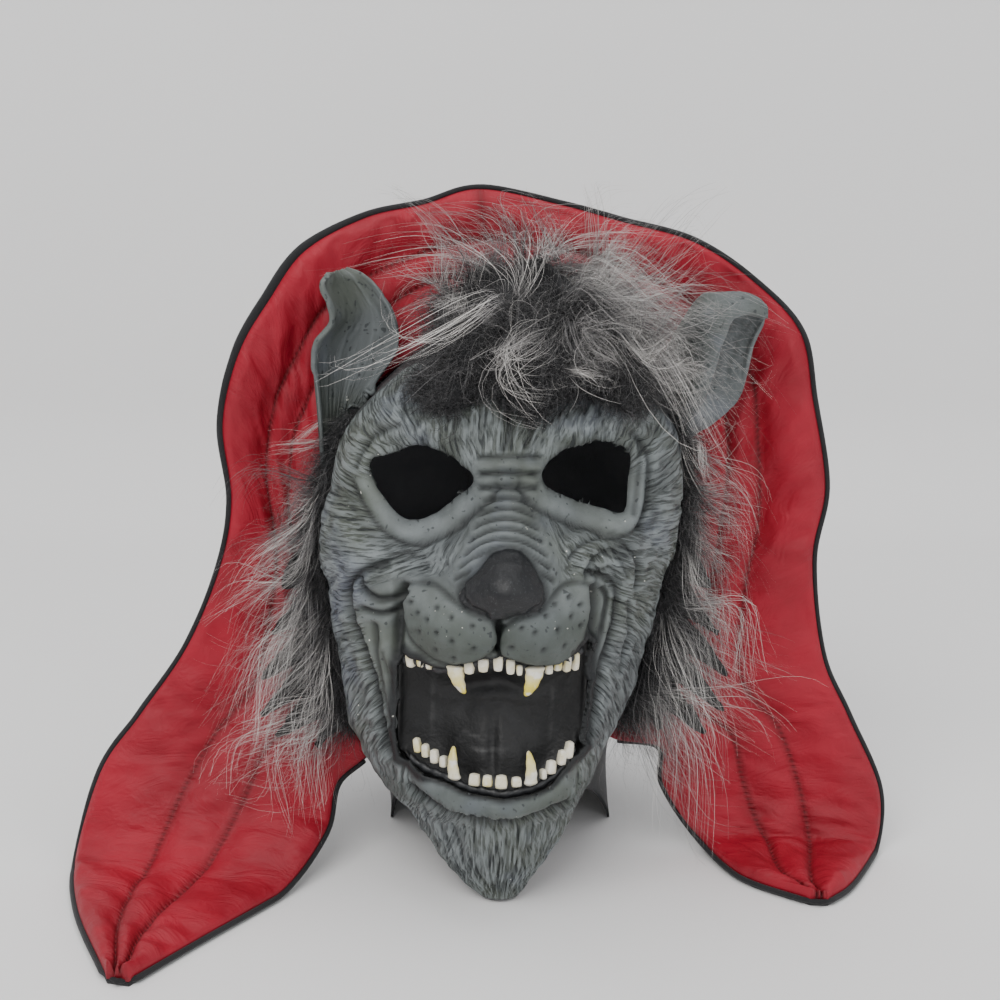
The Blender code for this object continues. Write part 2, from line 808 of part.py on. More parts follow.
# The lip's height and how far out it lies, evened out along the row of teeth
def lipPlace(across, lip, way):
    near = [across + lipEvening * step for step in (-1, -0.5, 0, 0.5, 1)]
    height = sum(lip(spot) for spot in near) / len(near)
    height = min(height, lip(across)) if way > 0 else max(height, lip(across))
    out = sum(faceForm(sideAt(spot, lip(spot)), lip(spot))[2] for spot in near) / len(near)
    return height, out


# A row of small teeth on a gum strip just inside a lip. Way is 1 below the upper lip and -1
# above the lower one. The fangs stand where the strip has no teeth.
def buildTeethRow(name, lip, way, fangs, fangRadius, parts, material):
    first = mouthEdge[0][0] + teethEndGaps[0]
    last = mouthEdge[-1][0] - teethEndGaps[1]
    count = int((last - first) * faceWidth / toothPitch)
    columns = count * 3

    def place(column, row):
        index = round(column * columns)
        tooth = min(index // 3, count - 1)
        part = index - tooth * 3
        across = first + (last - first) * (tooth + toothStops[part]) / count
        middle = first + (last - first) * (tooth + 0.5) / count
        nearest = min(abs(middle - fang) for fang in fangs) * faceWidth
        length = gumHeight
        if part in (1, 2) and nearest > fangRadius + toothPitch * 0.6:
            length = gumHeight + toothLength
        height, out = lipPlace(across, lip, way)
        up = height * faceHeight - way * (lipClear + length * row)
        return faceToWorld(across * faceWidth, up, out - lipInset)

    mesh = gridMesh(name, columns, 1, place)
    if way > 0:
        mesh.flip_normals()
    teeth = addObject(name, mesh, parts, material)
    addSolidify(teeth, gumWall, -1)


# A fang: a bent bar that tapers to its tip, its root just off the gum strip
def buildFang(name, across, lip, way, length, radius, parts, material):
    height, out = lipPlace(across, lip, way)
    start = height * faceHeight - way * (lipClear + gumHeight + seatClear * 1.8)
    points = []
    shares = []
    for step in range(fangSteps + 1):
        share = step / fangSteps
        up = start - way * length * share
        aside = across * faceWidth - math.copysign(length * fangBend, across) * share * share
        bend = out - lipInset - gumWall / 2 + length * fangBend * math.sin(math.pi * share)
        points.append(faceToWorld(aside, up, bend))
        shares.append(max((1 - share) ** 0.75, fangTip))
    addBar(name, points, radius, shares, parts, material, 1)


def buildMouth(parts, materials):
    buildMouthLiner(parts, materials)
    tooth = materials["tooth"]
    rows = (
        ("upper", mouthTop, 1, upperFangs, upperFangLength, upperFangRadius),
        ("lower", mouthBottom, -1, lowerFangs, lowerFangLength, lowerFangRadius),
    )
    for name, lip, way, fangs, length, radius in rows:
        buildTeethRow(name + "_teeth", lip, way, fangs, radius, parts, tooth)
        for side, across in zip(("left", "right"), fangs):
            buildFang("fang_" + name + "_" + side, across, lip, way, length, radius, parts, tooth)


# Fur down one side of the face: a backing on the head back, locks fused to it reaching out
def buildSideFur(name, rows, parts, materials):
    first = rows[0][0]
    last = rows[-1][0]

    def lockShare(column):
        return 1 - lockDepth + lockDepth * math.cos(2 * math.pi * furLocks * column)

    def place(column, row):
        along = first + (last - first) * column
        reach = columnAt(furColumnNames, rows, "reach", along)
        normal = backNormal(along, furSeat)
        away = Vector((normal.x, 0.0, normal.z)).normalized()
        length = furLength * reach * lockShare(column) * row
        droop = -furDroop * length * row
        forward = furForward * length
        base = backPoint(along, furSeat) + normal * seatClear
        return base + away * length + Vector((0, -forward, droop))

    mesh = gridMesh(name, furColumns, furRows, place)
    fur = addObject(name, mesh, parts, materials["fur"])
    group = fur.vertex_groups.new(name="depth")
    for index in range(len(mesh.vertices)):
        row = (index // (furColumns + 1)) / furRows
        group.add([index], 1 - 0.8 * row, "REPLACE")
    wall = addSolidify(fur, furRoot, -1)
    wall.vertex_group = "depth"
    wall.thickness_vertex_group = furTipThickness
    shadeRound(fur)


# The crest: a mound of locks from the forehead back over the head back's top
def buildCrest(parts, materials):
    start, end = crestSpan
    seatStart, seatEnd = crestSeat

    def place(column, row):
        half = 0.5
        if row <= half:
            side = start + (end - start) * column
            fringe = crestFringe * math.cos(2 * math.pi * crestLocks * column)
            lowest = crestFront + fringe
            height = lowest + (0.995 - lowest) * row / half
            return facePoint(side, height) + faceNormal(side, height) * crestClear
        along = seatStart + (seatEnd - seatStart) * column
        share = (row - half) / half
        back = 0.02 + (furSeat * 2 - 0.02) * share
        clear = crestClear + (seatClear - crestClear) * share
        return backPoint(along, back) + backNormal(along, back) * clear

    mesh = gridMesh("fur_crest", crestColumns, crestRows, place)
    crest = addObject("fur_crest", mesh, parts, materials["fur"])
    group = crest.vertex_groups.new(name="depth")
    for index in range(len(mesh.vertices)):
        column = (index % (crestColumns + 1)) / crestColumns
        row = (index // (crestColumns + 1)) / crestRows
        mound = math.sin(math.pi * column) ** 0.6 * math.sin(math.pi * min(row * 1.1, 1)) ** 0.6
        wave = math.cos(2 * math.pi * (4 * column + 1.5 * row))
        lock = 1 - crestLockDepth + crestLockDepth * wave
        group.add([index], mound * lock, "REPLACE")
    wall = addSolidify(crest, crestHeight, 1)
    wall.vertex_group = "depth"
    wall.thickness_vertex_group = crestEdgeThickness
    shadeRound(crest)


# Moves the model so that the middle of its box's underside is the origin
def standAtOrigin(parts):
    bpy.context.view_layer.update()
    ready = bpy.context.evaluated_depsgraph_get()
    low = Vector((1e9, 1e9, 1e9))
    high = -low
    for item in parts.objects:
        if item.type == "EMPTY":
            continue
        shape = item.evaluated_get(ready)
        mesh = shape.to_mesh()
        for vert in mesh.vertices:
            point = shape.matrix_world @ vert.co
            low = Vector(map(min, low, point))
            high = Vector(map(max, high, point))
        shape.to_mesh_clear()
    root.location = (-(low.x + high.x) / 2, -(low.y + high.y) / 2, -low.z)


def main():
    global root
    clearScene()
    parts = makeCollection("werewolf_mask")
    cutters = makeCollection("cutters")
    root = bpy.data.objects.new("werewolf_mask", None)
    parts.objects.link(root)
    materials = {
        "latex": makeMaterial("latex", (0.17, 0.19, 0.20), 0.65),
        "black cloth": makeMaterial("black cloth", (0.015, 0.015, 0.018), 0.85),
        "red satin": makeMaterial("red satin", (0.48, 0.015, 0.03), 0.45),
        "tooth": makeMaterial("tooth", (0.80, 0.74, 0.55), 0.40),
        "fur": makeMaterial("fur", (0.20, 0.20, 0.21), 0.80),
    }
    buildFace(parts, cutters, materials)
    buildHeadBack(parts, materials)
    buildHood(parts, materials)
    buildPiping(parts, materials)
    buildLeftEar(parts, materials)
    buildRightEar(parts, materials)
    buildMouth(parts, materials)
    for name, rows in furSides.items():
        buildSideFur(name, rows, parts, materials)
    buildCrest(parts, materials)
    standAtOrigin(parts)


main()
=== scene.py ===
# Werewolf mask, dressed: carved latex face and ears, quilted hood, faux fur, teeth and cloth.
# Metres, +Z up, the face looks along -Y. Left and right are the viewer's.
import math

import bmesh
import bpy
import numpy as np
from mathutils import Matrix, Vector


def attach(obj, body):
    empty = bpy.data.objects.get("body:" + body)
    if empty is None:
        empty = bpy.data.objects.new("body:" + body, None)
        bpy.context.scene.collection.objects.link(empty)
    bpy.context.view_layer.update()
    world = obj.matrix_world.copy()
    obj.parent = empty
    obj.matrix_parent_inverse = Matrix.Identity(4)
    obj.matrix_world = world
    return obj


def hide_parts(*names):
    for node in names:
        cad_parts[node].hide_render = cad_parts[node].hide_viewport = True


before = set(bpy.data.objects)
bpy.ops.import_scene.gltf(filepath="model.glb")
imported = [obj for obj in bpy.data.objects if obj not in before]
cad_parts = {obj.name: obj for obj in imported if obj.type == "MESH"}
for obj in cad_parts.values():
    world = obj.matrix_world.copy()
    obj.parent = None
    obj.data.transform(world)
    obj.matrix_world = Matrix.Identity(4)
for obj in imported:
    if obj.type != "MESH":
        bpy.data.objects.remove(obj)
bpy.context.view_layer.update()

# From the chin, where the forms are measured, to the middle of the box's underside
standShift = np.array((0.009145, -0.040363, 0.000218))

faceShape = {
    "height": 0.285, "width": 0.178, "depth": 0.080, "wall": 0.003,
    "lean": 10.0, "roll": 1.6, "columns": 226, "rows": 236, "crowding": 0.24,
}

# Sections of the face from the chin up: height, left and right half widths, rear, front,
# snout, snoutHalf, as shares of the face's height, width and depth
faceSections = np.array([
    (0.000, 0.060, 0.055, 0.08, 0.22, 0.02, 0.10),
    (0.044, 0.143, 0.105, 0.04, 0.30, 0.06, 0.14),
    (0.084, 0.197, 0.152, 0.02, 0.35, 0.10, 0.18),
    (0.135, 0.250, 0.191, 0.00, 0.40, 0.14, 0.21),
    (0.181, 0.315, 0.230, -0.03, 0.45, 0.17, 0.24),
    (0.221, 0.371, 0.264, -0.06, 0.50, 0.18, 0.26),
    (0.277, 0.427, 0.303, -0.10, 0.54, 0.16, 0.26),
    (0.325, 0.461, 0.343, -0.12, 0.57, 0.14, 0.26),
    (0.405, 0.483, 0.388, -0.14, 0.60, 0.16, 0.26),
    (0.488, 0.506, 0.421, -0.15, 0.62, 0.24, 0.25),
    (0.568, 0.530, 0.449, -0.15, 0.64, 0.28, 0.21),
    (0.625, 0.555, 0.478, -0.15, 0.65, 0.27, 0.17),
    (0.691, 0.545, 0.492, -0.14, 0.66, 0.20, 0.13),
    (0.756, 0.520, 0.495, -0.13, 0.66, 0.12, 0.105),
    (0.826, 0.500, 0.478, -0.10, 0.62, 0.04, 0.10),
    (0.879, 0.448, 0.440, -0.07, 0.53, 0.00, 0.10),
    (0.950, 0.330, 0.325, -0.02, 0.34, 0.00, 0.10),
    (1.000, 0.200, 0.200, 0.04, 0.17, 0.00, 0.10),
])

# Raised and sunk forms: across, up, halfAcross, halfUp, turn in degrees, rise
faceForms = {
    "browLeft": (-0.255, 0.872, 0.150, 0.030, -12.0, 0.130),
    "browRight": (0.235, 0.874, 0.150, 0.030, 12.0, 0.130),
    "socketLeft": (-0.245, 0.762, 0.150, 0.060, -6.0, -0.230),
    "socketRight": (0.215, 0.772, 0.150, 0.060, 6.0, -0.230),
    "bagLeft": (-0.250, 0.662, 0.130, 0.022, -16.0, 0.070),
    "bagRight": (0.230, 0.668, 0.120, 0.022, 16.0, 0.070),
    "noseBall": (-0.010, 0.603, 0.105, 0.042, 0.0, 0.170),
    "padLeft": (-0.145, 0.522, 0.100, 0.046, 0.0, 0.130),
    "padRight": (0.100, 0.518, 0.095, 0.044, 0.0, 0.130),
    "lipCleft": (-0.022, 0.510, 0.022, 0.030, 0.0, -0.090),
    "cheekLeft": (-0.430, 0.620, 0.090, 0.050, 0.0, 0.060),
    "cheekRight": (0.300, 0.640, 0.060, 0.040, 0.0, 0.080),
    "foldLeft": (-0.300, 0.545, 0.040, 0.070, 12.0, -0.090),
    "foldRight": (0.250, 0.555, 0.035, 0.060, -12.0, -0.090),
    "lipLower": (-0.030, 0.208, 0.220, 0.026, 0.0, 0.090),
    "chinDent": (-0.020, 0.158, 0.170, 0.018, 0.0, -0.040),
    "foreheadCleft": (0.000, 0.900, 0.030, 0.050, 0.0, -0.030),
}

# Outlines in shares of the face's width and height
eyeHoles = {
    "left": [
        (-0.390, 0.808), (-0.345, 0.816), (-0.250, 0.836), (-0.170, 0.815), (-0.098, 0.780),
        (-0.150, 0.744), (-0.227, 0.708), (-0.300, 0.706), (-0.365, 0.745), (-0.396, 0.780),
    ],
    "right": [
        (0.073, 0.790), (0.112, 0.818), (0.188, 0.840), (0.260, 0.842), (0.322, 0.818),
        (0.322, 0.765), (0.310, 0.716), (0.250, 0.722), (0.160, 0.740), (0.090, 0.765),
    ],
}
mouthEdge = np.array([  # across, top, bottom
    (-0.300, 0.462, 0.300), (-0.255, 0.466, 0.270), (-0.210, 0.458, 0.255),
    (-0.165, 0.458, 0.248), (-0.100, 0.474, 0.234), (-0.045, 0.482, 0.230),
    (-0.020, 0.486, 0.227), (0.005, 0.482, 0.226), (0.045, 0.470, 0.230),
    (0.090, 0.465, 0.234), (0.140, 0.472, 0.250), (0.180, 0.480, 0.276),
    (0.222, 0.498, 0.318),
])
noseEdge = [
    (0.000, 0.672), (0.040, 0.662), (0.075, 0.633), (0.098, 0.600), (0.090, 0.570),
    (0.045, 0.562), (-0.028, 0.556), (-0.088, 0.562), (-0.136, 0.577), (-0.130, 0.606),
    (-0.090, 0.636), (-0.052, 0.664),
]
padEdges = {
    "left": [
        (-0.285, 0.592), (-0.290, 0.552), (-0.270, 0.505), (-0.218, 0.475), (-0.154, 0.466),
        (-0.092, 0.474), (-0.044, 0.497), (-0.030, 0.530), (-0.060, 0.562), (-0.140, 0.575),
        (-0.210, 0.600),
    ],
    "right": [
        (-0.024, 0.530), (-0.013, 0.490), (0.044, 0.473), (0.096, 0.466), (0.148, 0.470),
        (0.195, 0.500), (0.222, 0.550), (0.220, 0.594), (0.150, 0.604), (0.095, 0.575),
        (0.030, 0.562),
    ],
}

# Skin without carved fur: bridge, muzzle and the folds beside the mouth
bareEdge = [
    (-0.300, 0.605), (-0.400, 0.575), (-0.395, 0.500), (-0.350, 0.420), (-0.320, 0.330),
    (-0.255, 0.250), (-0.190, 0.222), (0.000, 0.200), (0.150, 0.208), (0.215, 0.290),
    (0.235, 0.400), (0.262, 0.480), (0.275, 0.560), (0.235, 0.612), (0.150, 0.612),
    (0.110, 0.680), (0.078, 0.745), (0.085, 0.805), (-0.010, 0.820), (-0.100, 0.805),
    (-0.092, 0.745), (-0.125, 0.680), (-0.175, 0.620),
]

# Lines carved in the face: height in millimetres, below 0 for a crease, half width in
# millimetres, and the points of the line
faceLines = {
    "cornerLeft": (-3.4, 2.5, [
        (-0.288, 0.590), (-0.297, 0.550), (-0.304, 0.510), (-0.306, 0.470)]),
    "cornerRight": (-3.0, 2.2, [(0.226, 0.594), (0.233, 0.555), (0.231, 0.515)]),
    "foldLeftOuter": (-3.0, 2.1, [
        (-0.345, 0.628), (-0.401, 0.617), (-0.433, 0.600), (-0.451, 0.567), (-0.436, 0.508),
        (-0.395, 0.458), (-0.366, 0.400), (-0.345, 0.333), (-0.329, 0.283)]),
    "foldLeftHook": (-2.6, 1.8, [
        (-0.415, 0.598), (-0.396, 0.575), (-0.365, 0.565), (-0.322, 0.567), (-0.278, 0.578)]),
    "foldLeftBulge": (-2.2, 1.6, [
        (-0.405, 0.545), (-0.359, 0.540), (-0.319, 0.545), (-0.290, 0.552)]),
    "foldLeftInner": (-1.8, 1.6, [
        (-0.373, 0.517), (-0.359, 0.450), (-0.339, 0.392), (-0.322, 0.342)]),
    "foldLeftLow": (-1.3, 1.4, [(-0.345, 0.470), (-0.318, 0.400), (-0.290, 0.340)]),
    "foldRightOuter": (-2.8, 2.0, [
        (0.218, 0.620), (0.274, 0.603), (0.296, 0.575), (0.292, 0.533), (0.272, 0.483),
        (0.256, 0.442), (0.249, 0.375), (0.236, 0.317)]),
    "foldRightInner": (-2.2, 1.7, [
        (0.251, 0.590), (0.268, 0.567), (0.260, 0.533), (0.245, 0.492), (0.232, 0.442)]),
    "swirlOuter": (-1.8, 1.6, [
        (0.162, 0.648), (0.187, 0.667), (0.222, 0.677), (0.278, 0.683), (0.326, 0.660),
        (0.355, 0.625), (0.355, 0.583)]),
    "swirlMiddle": (-1.4, 1.3, [
        (0.203, 0.608), (0.218, 0.636), (0.253, 0.654), (0.294, 0.648), (0.324, 0.608)]),
    "swirlInner": (-1.1, 1.1, [
        (0.233, 0.600), (0.248, 0.622), (0.279, 0.622), (0.303, 0.594)]),
    "cheekRight": (-1.3, 1.3, [(0.330, 0.560), (0.340, 0.500), (0.318, 0.430)]),
    "bandTop": (1.5, 2.2, [(-0.085, 0.800), (-0.010, 0.804), (0.062, 0.800)]),
    "bandLow": (1.4, 2.0, [(-0.080, 0.776), (-0.012, 0.780), (0.055, 0.776)]),
    "bandUpper": (-1.6, 1.2, [(-0.090, 0.816), (-0.010, 0.819), (0.070, 0.816)]),
    "bandBetween": (-2.0, 1.1, [(-0.086, 0.788), (-0.012, 0.792), (0.060, 0.788)]),
    "bandUnder": (-2.0, 1.2, [(-0.086, 0.764), (-0.012, 0.768), (0.062, 0.764)]),
    "frown": (-1.8, 2.2, [(-0.030, 0.832), (-0.012, 0.862), (-0.020, 0.905)]),
    "frownRight": (-1.2, 1.8, [(0.035, 0.836), (0.046, 0.866), (0.040, 0.895)]),
    "lipLower": (2.4, 4.6, [
        (-0.228, 0.262), (-0.200, 0.230), (-0.104, 0.214), (0.021, 0.214), (0.118, 0.226),
        (0.173, 0.232)]),
    "lipUnder": (-2.2, 2.2, [
        (-0.262, 0.228), (-0.191, 0.206), (-0.102, 0.186), (0.006, 0.176), (0.100, 0.192),
        (0.172, 0.202)]),
    "philtrum": (-3.2, 1.5, [(-0.028, 0.558), (-0.027, 0.525), (-0.026, 0.496)]),
    "nostrilLeft": (-2.2, 1.3, [
        (-0.122, 0.604), (-0.112, 0.586), (-0.088, 0.574), (-0.055, 0.570)]),
    "nostrilRight": (-1.8, 1.2, [(0.088, 0.602), (0.078, 0.582), (0.048, 0.573)]),
    "noseRidgeLeft": (1.2, 1.6, [
        (-0.148, 0.612), (-0.118, 0.640), (-0.078, 0.666), (-0.040, 0.684)]),
    "browCreaseLeft": (-1.4, 1.8, [(-0.440, 0.790), (-0.400, 0.842), (-0.320, 0.868)]),
    "browCreaseRight": (-1.8, 1.9, [(0.330, 0.852), (0.372, 0.815), (0.385, 0.750),
                                    (0.360, 0.690)]),
    "ringRight": (-1.2, 1.5, [(0.352, 0.842), (0.350, 0.770), (0.338, 0.712)]),
}
bridgeWrinkles = {
    "count": 7, "top": 0.750, "bottom": 0.652, "narrow": 0.062, "wide": 0.132,
    "arch": 0.030, "depth": 1.6, "half": 1.15, "centre": -0.014,
}
whiskerPits = {
    "depth": 1.3, "half": 1.05, "rim": 0.40,
    "spots": [
        (-0.253, 0.567), (-0.238, 0.550), (-0.212, 0.542), (-0.185, 0.525), (-0.149, 0.550),
        (-0.146, 0.517), (-0.095, 0.542), (-0.093, 0.508), (-0.143, 0.487), (-0.264, 0.583),
        (-0.189, 0.562), (-0.235, 0.520), (-0.190, 0.497),
        (0.152, 0.583), (0.182, 0.567), (0.117, 0.575), (0.093, 0.558), (0.158, 0.550),
        (0.068, 0.533), (0.124, 0.533), (0.186, 0.533), (0.090, 0.507), (0.142, 0.508),
        (0.014, 0.508), (0.034, 0.542), (0.170, 0.490),
    ],
}
eyeRings = {
    "ridge": 1.3, "ridgeAway": 4.6, "ridgeHalf": 2.6, "crease": -1.5, "creaseAway": 10.2,
    "creaseHalf": 1.7, "lip": 0.9, "lipHalf": 1.6, "fade": 0.045,
}

# Which way the carved fur lies: across, height and degrees from the viewer's right
furWays = [
    (0.00, 0.95, 90), (-0.20, 0.93, 108), (-0.36, 0.89, 128), (0.20, 0.93, 72),
    (0.36, 0.89, 52), (-0.27, 0.86, 104), (0.25, 0.87, 76), (-0.47, 0.80, 158),
    (0.45, 0.80, 22), (-0.49, 0.70, 176), (0.45, 0.70, 4), (-0.36, 0.66, 12),
    (-0.28, 0.645, 24), (-0.17, 0.68, 64), (0.13, 0.68, 116), (0.20, 0.65, 150),
    (-0.50, 0.58, 8), (-0.47, 0.48, 24), (-0.42, 0.35, 44), (-0.32, 0.20, 62),
    (-0.25, 0.16, 66), (0.40, 0.60, 164), (0.38, 0.48, 150), (0.32, 0.35, 130),
    (0.24, 0.22, 118), (-0.15, 0.13, 74), (-0.02, 0.12, 90), (0.10, 0.13, 104),
    (-0.02, 0.02, 90), (-0.08, 0.86, 98), (0.07, 0.86, 82),
]
carvedFur = {
    "depth": 1.0, "reach": 0.0065, "steps": 9, "seed": 4, "ways": 8, "sharpness": 9.0,
    "along": 72.0, "across": 600.0,
}

hoodShape = {
    "halfWidth": 0.200, "height": 0.350, "depth": 0.100, "seat": 0.22, "clear": -0.0022,
    "padThin": 0.0030, "padThick": 0.0085, "shellWall": 0.0020, "gap": 0.0004,
    "columns": 430, "rows": 54, "fullest": 0.014, "shellColumns": 300, "shellRows": 30, "shellMean": 0.62,
}
# Stations from the left tail's tip, over the top, to the right tail's tip: outX, outY, outZ,
# inX, inY, inZ, seat, bow
hoodStations = [
    (-0.940, -0.960, 0.000, -0.885, -0.990, 0.000, None, 0.00),
    (-1.075, -0.330, 0.000, -0.750, -0.620, 0.000, None, 0.00),
    (-1.130, 0.170, 0.014, -0.575, -0.160, 0.000, None, 0.00),
    (-1.068, 0.350, 0.143, -0.465, 0.170, 0.062, None, 0.05),
    (-0.964, 0.450, 0.226, -0.435, 0.330, 0.125, None, 0.08),
    (-0.840, 0.550, 0.325, None, None, None, 0.045, 0.10),
    (-0.749, 0.600, 0.446, None, None, None, 0.090, 0.12),
    (-0.715, 0.650, 0.548, None, None, None, 0.150, 0.14),
    (-0.734, 0.700, 0.665, None, None, None, 0.215, 0.14),
    (-0.688, 0.750, 0.772, None, None, None, 0.275, 0.14),
    (-0.607, 0.800, 0.850, None, None, None, 0.320, 0.12),
    (-0.512, 0.850, 0.921, None, None, None, 0.360, 0.12),
    (-0.351, 0.900, 0.968, None, None, None, 0.400, 0.10),
    (-0.197, 0.900, 0.988, None, None, None, 0.440, 0.10),
    (-0.052, 0.900, 1.010, None, None, None, 0.490, 0.10),
    (0.156, 0.900, 0.987, None, None, None, 0.530, 0.10),
    (0.318, 0.900, 0.962, None, None, None, 0.570, 0.10),
    (0.505, 0.880, 0.933, None, None, None, 0.610, 0.12),
    (0.661, 0.850, 0.876, None, None, None, 0.645, 0.12),
    (0.788, 0.800, 0.801, None, None, None, 0.690, 0.14),
    (0.827, 0.750, 0.699, None, None, None, 0.745, 0.14),
    (0.866, 0.700, 0.566, None, None, None, 0.815, 0.14),
    (0.837, 0.650, 0.454, None, None, None, 0.880, 0.12),
    (0.870, 0.600, 0.306, None, None, None, 0.940, 0.10),
    (0.945, 0.550, 0.210, 0.430, 0.500, 0.165, None, 0.08),
    (1.033, 0.480, 0.096, 0.445, 0.500, 0.100, None, 0.05),
    (1.017, 0.340, 0.010, 0.540, 0.420, 0.020, None, 0.00),
    (0.921, -0.040, 0.000, 0.640, 0.040, 0.000, None, 0.00),
    (0.845, -0.215, 0.000, 0.800, -0.210, 0.000, None, 0.00),
]
quiltSeams = (0.0, 0.375, 0.625, 1.0)

backShape = {
    "wall": 0.0015, "start": 0.045, "reach": 0.062, "hemHalf": 0.062, "hemFront": 0.080,
    "hemBack": 0.185, "corner": 14 / 32, "crowding": 1.7, "flare": (0.10, 0.34),
    "lowReach": 0.75, "hemSquareness": 0.7, "napeBulge": 0.012, "napeLow": (0.35, 0.45),
    "columns": 200, "rows": 70,
}


# Smooth curve through values at keys, read at one place or many
def smoothCurve(keys, values, at):
    keys = np.asarray(keys, float)
    values = np.asarray(values, float)
    at = np.clip(np.asarray(at, float), keys[0], keys[-1])
    low = np.clip(np.searchsorted(keys, at, side="left") - 1, 0, len(keys) - 2)
    high = low + 1
    before = np.maximum(low - 1, 0)
    after = np.minimum(high + 1, len(keys) - 1)
    span = keys[high] - keys[low]
    share = (at - keys[low]) / span
    slopeLow = (values[high] - values[before]) / (keys[high] - keys[before])
    slopeHigh = (values[after] - values[low]) / (keys[after] - keys[low])
    square = share * share
    cube = square * share
    return ((2 * cube - 3 * square + 1) * values[low] + (cube - 2 * square + share) * span * slopeLow
            + (3 * square - 2 * cube) * values[high] + (cube - square) * span * slopeHigh)


def bell(distance):
    return np.exp(-distance * distance)


def ease(low, high, value):
    share = np.clip((value - low) / (high - low), 0, 1)
    return share * share * (3 - 2 * share)


# The face's form: side from -1 at the left edge to 1 at the right, height from 0 to 1
def faceForm(side, height):
    side, height = np.broadcast_arrays(np.asarray(side, float), np.asarray(height, float))
    keys = faceSections[:, 0]
    left, right, rear, front, snout, snoutHalf = (
        smoothCurve(keys, faceSections[:, column], height) for column in range(1, 7))
    turn = side * math.pi / 2
    across = np.where(side < 0, left, right) * np.sin(turn)
    bulge = np.maximum(np.cos(turn), 0.0) ** 0.8
    out = rear + (front - rear) * bulge
    out = out + snout * bell(across / snoutHalf) * np.minimum(1.0, bulge * 1.5)
    for centreX, centreUp, halfX, halfUp, angle, rise in faceForms.values():
        away = (across - centreX) * faceShape["width"]
        above = (height - centreUp) * faceShape["height"]
        cosine = math.cos(math.radians(angle))
        sine = math.sin(math.radians(angle))
        along = (away * cosine + above * sine) / (halfX * faceShape["width"])
        over = (above * cosine - away * sine) / (halfUp * faceShape["height"])
        out = out + rise * bell(along) * bell(over) * np.minimum(1.0, bulge * 2.0)
    return across * faceShape["width"], height * faceShape["height"], out * faceShape["depth"]


def faceToWorld(across, up, out):
    lean = math.radians(faceShape["lean"])
    x = across + math.tan(math.radians(faceShape["roll"])) * up
    y = up * math.sin(lean) - out * math.cos(lean)
    z = up * math.cos(lean) + out * math.sin(lean)
    z = z - faceSections[0, 3] * faceShape["depth"] * math.sin(lean)
    return np.stack(np.broadcast_arrays(x, y, z), axis=-1)


def facePoint(side, height):
    return faceToWorld(*faceForm(side, height))


def unit(vectors):
    return vectors / np.maximum(np.linalg.norm(vectors, axis=-1, keepdims=True), 1e-9)


# The outward direction at places on a surface whose points place() gives
def outwardAt(place, u, v, step, lowest=0):
    u, v = np.broadcast_arrays(np.asarray(u, float), np.asarray(v, float))
    right = place(np.minimum(u + step, 1), v) - place(np.maximum(u - step, lowest), v)
    up = place(u, np.minimum(v + step, 1)) - place(u, np.maximum(v - step, 0))
    return unit(np.cross(right, up))


def faceNormal(side, height):
    return outwardAt(facePoint, side, height, 0.004, -1)


def sideAt(across, height):
    across, height = np.broadcast_arrays(np.asarray(across, float), np.asarray(height, float))
    keys = faceSections[:, 0]
    left = smoothCurve(keys, faceSections[:, 1], height)
    right = smoothCurve(keys, faceSections[:, 2], height)
    half = np.where(across < 0, left, right)
    return np.arcsin(np.clip(across / half, -1, 1)) / (math.pi / 2)


def mouthTop(across):
    return smoothCurve(mouthEdge[:, 0], mouthEdge[:, 1], across)


def mouthBottom(across):
    return smoothCurve(mouthEdge[:, 0], mouthEdge[:, 2], across)


# The face's rear edge, along from the left jaw over the forehead to the right jaw
def faceEdge(along):
    along = np.asarray(along, float)
    start = backShape["start"] / faceShape["height"]
    corner = backShape["corner"]
    rise = np.where(along < 0.5, along, 1 - along) / corner
    height = np.minimum(start + (1 - start) * rise, 1.0)
    side = np.clip((along - 0.5) / (0.5 - corner), -1, 1)
    wall = np.maximum(0.0, -faceNormal(side, height) @ backward) * faceShape["wall"]
    return facePoint(side, height), wall


backward = np.array((0.0, math.cos(math.radians(faceShape["lean"])),
                     -math.sin(math.radians(faceShape["lean"]))))


# The head back's outer side: back from 0 at the face's edge to 1 at the hem
def backPoint(along, back):
    along, back = np.broadcast_arrays(np.asarray(along, float), np.asarray(back, float))
    edge, wall = faceEdge(along)
    centre = np.stack([np.zeros_like(along), edge[..., 1],
                       np.full_like(along, faceShape["height"] * 0.55)], axis=-1)
    out = unit(edge - centre)
    lift = np.clip((edge[..., 2] / faceShape["height"] - 0.35) / 0.35, 0, 1)
    lowFlare, highFlare = backShape["flare"]
    flare = (lowFlare + (highFlare - lowFlare) * lift)[..., None]
    leave = unit(np.array((0.0, 1.0, 0.0)) + out * flare)
    reach = (backShape["reach"] * (backShape["lowReach"] + (1 - backShape["lowReach"]) * lift))[..., None]
    turn = math.pi * along
    sweep = np.sin(turn)
    cosine = np.cos(turn)
    hem = np.stack([
        -backShape["hemHalf"] * np.sign(cosine) * np.abs(cosine) ** backShape["hemSquareness"],
        backShape["hemFront"] + (backShape["hemBack"] - backShape["hemFront"]) * sweep,
        np.zeros_like(along)], axis=-1)
    sideLow, middleMore = backShape["napeLow"]
    low = hem + np.stack([np.zeros_like(along), backShape["napeBulge"] * sweep,
                          edge[..., 2] * (sideLow + middleMore * sweep)], axis=-1)
    start = edge + backward * (2 * hoodShape["gap"] + wall)[..., None]
    points = (start, start + backward * reach * 0.25, start + leave * reach, low, hem)
    rest = 1 - back
    weights = (rest ** 4, 4 * rest ** 3 * back, 6 * rest ** 2 * back ** 2, 4 * rest * back ** 3, back ** 4)
    return sum(point * weight[..., None] for point, weight in zip(points, weights))


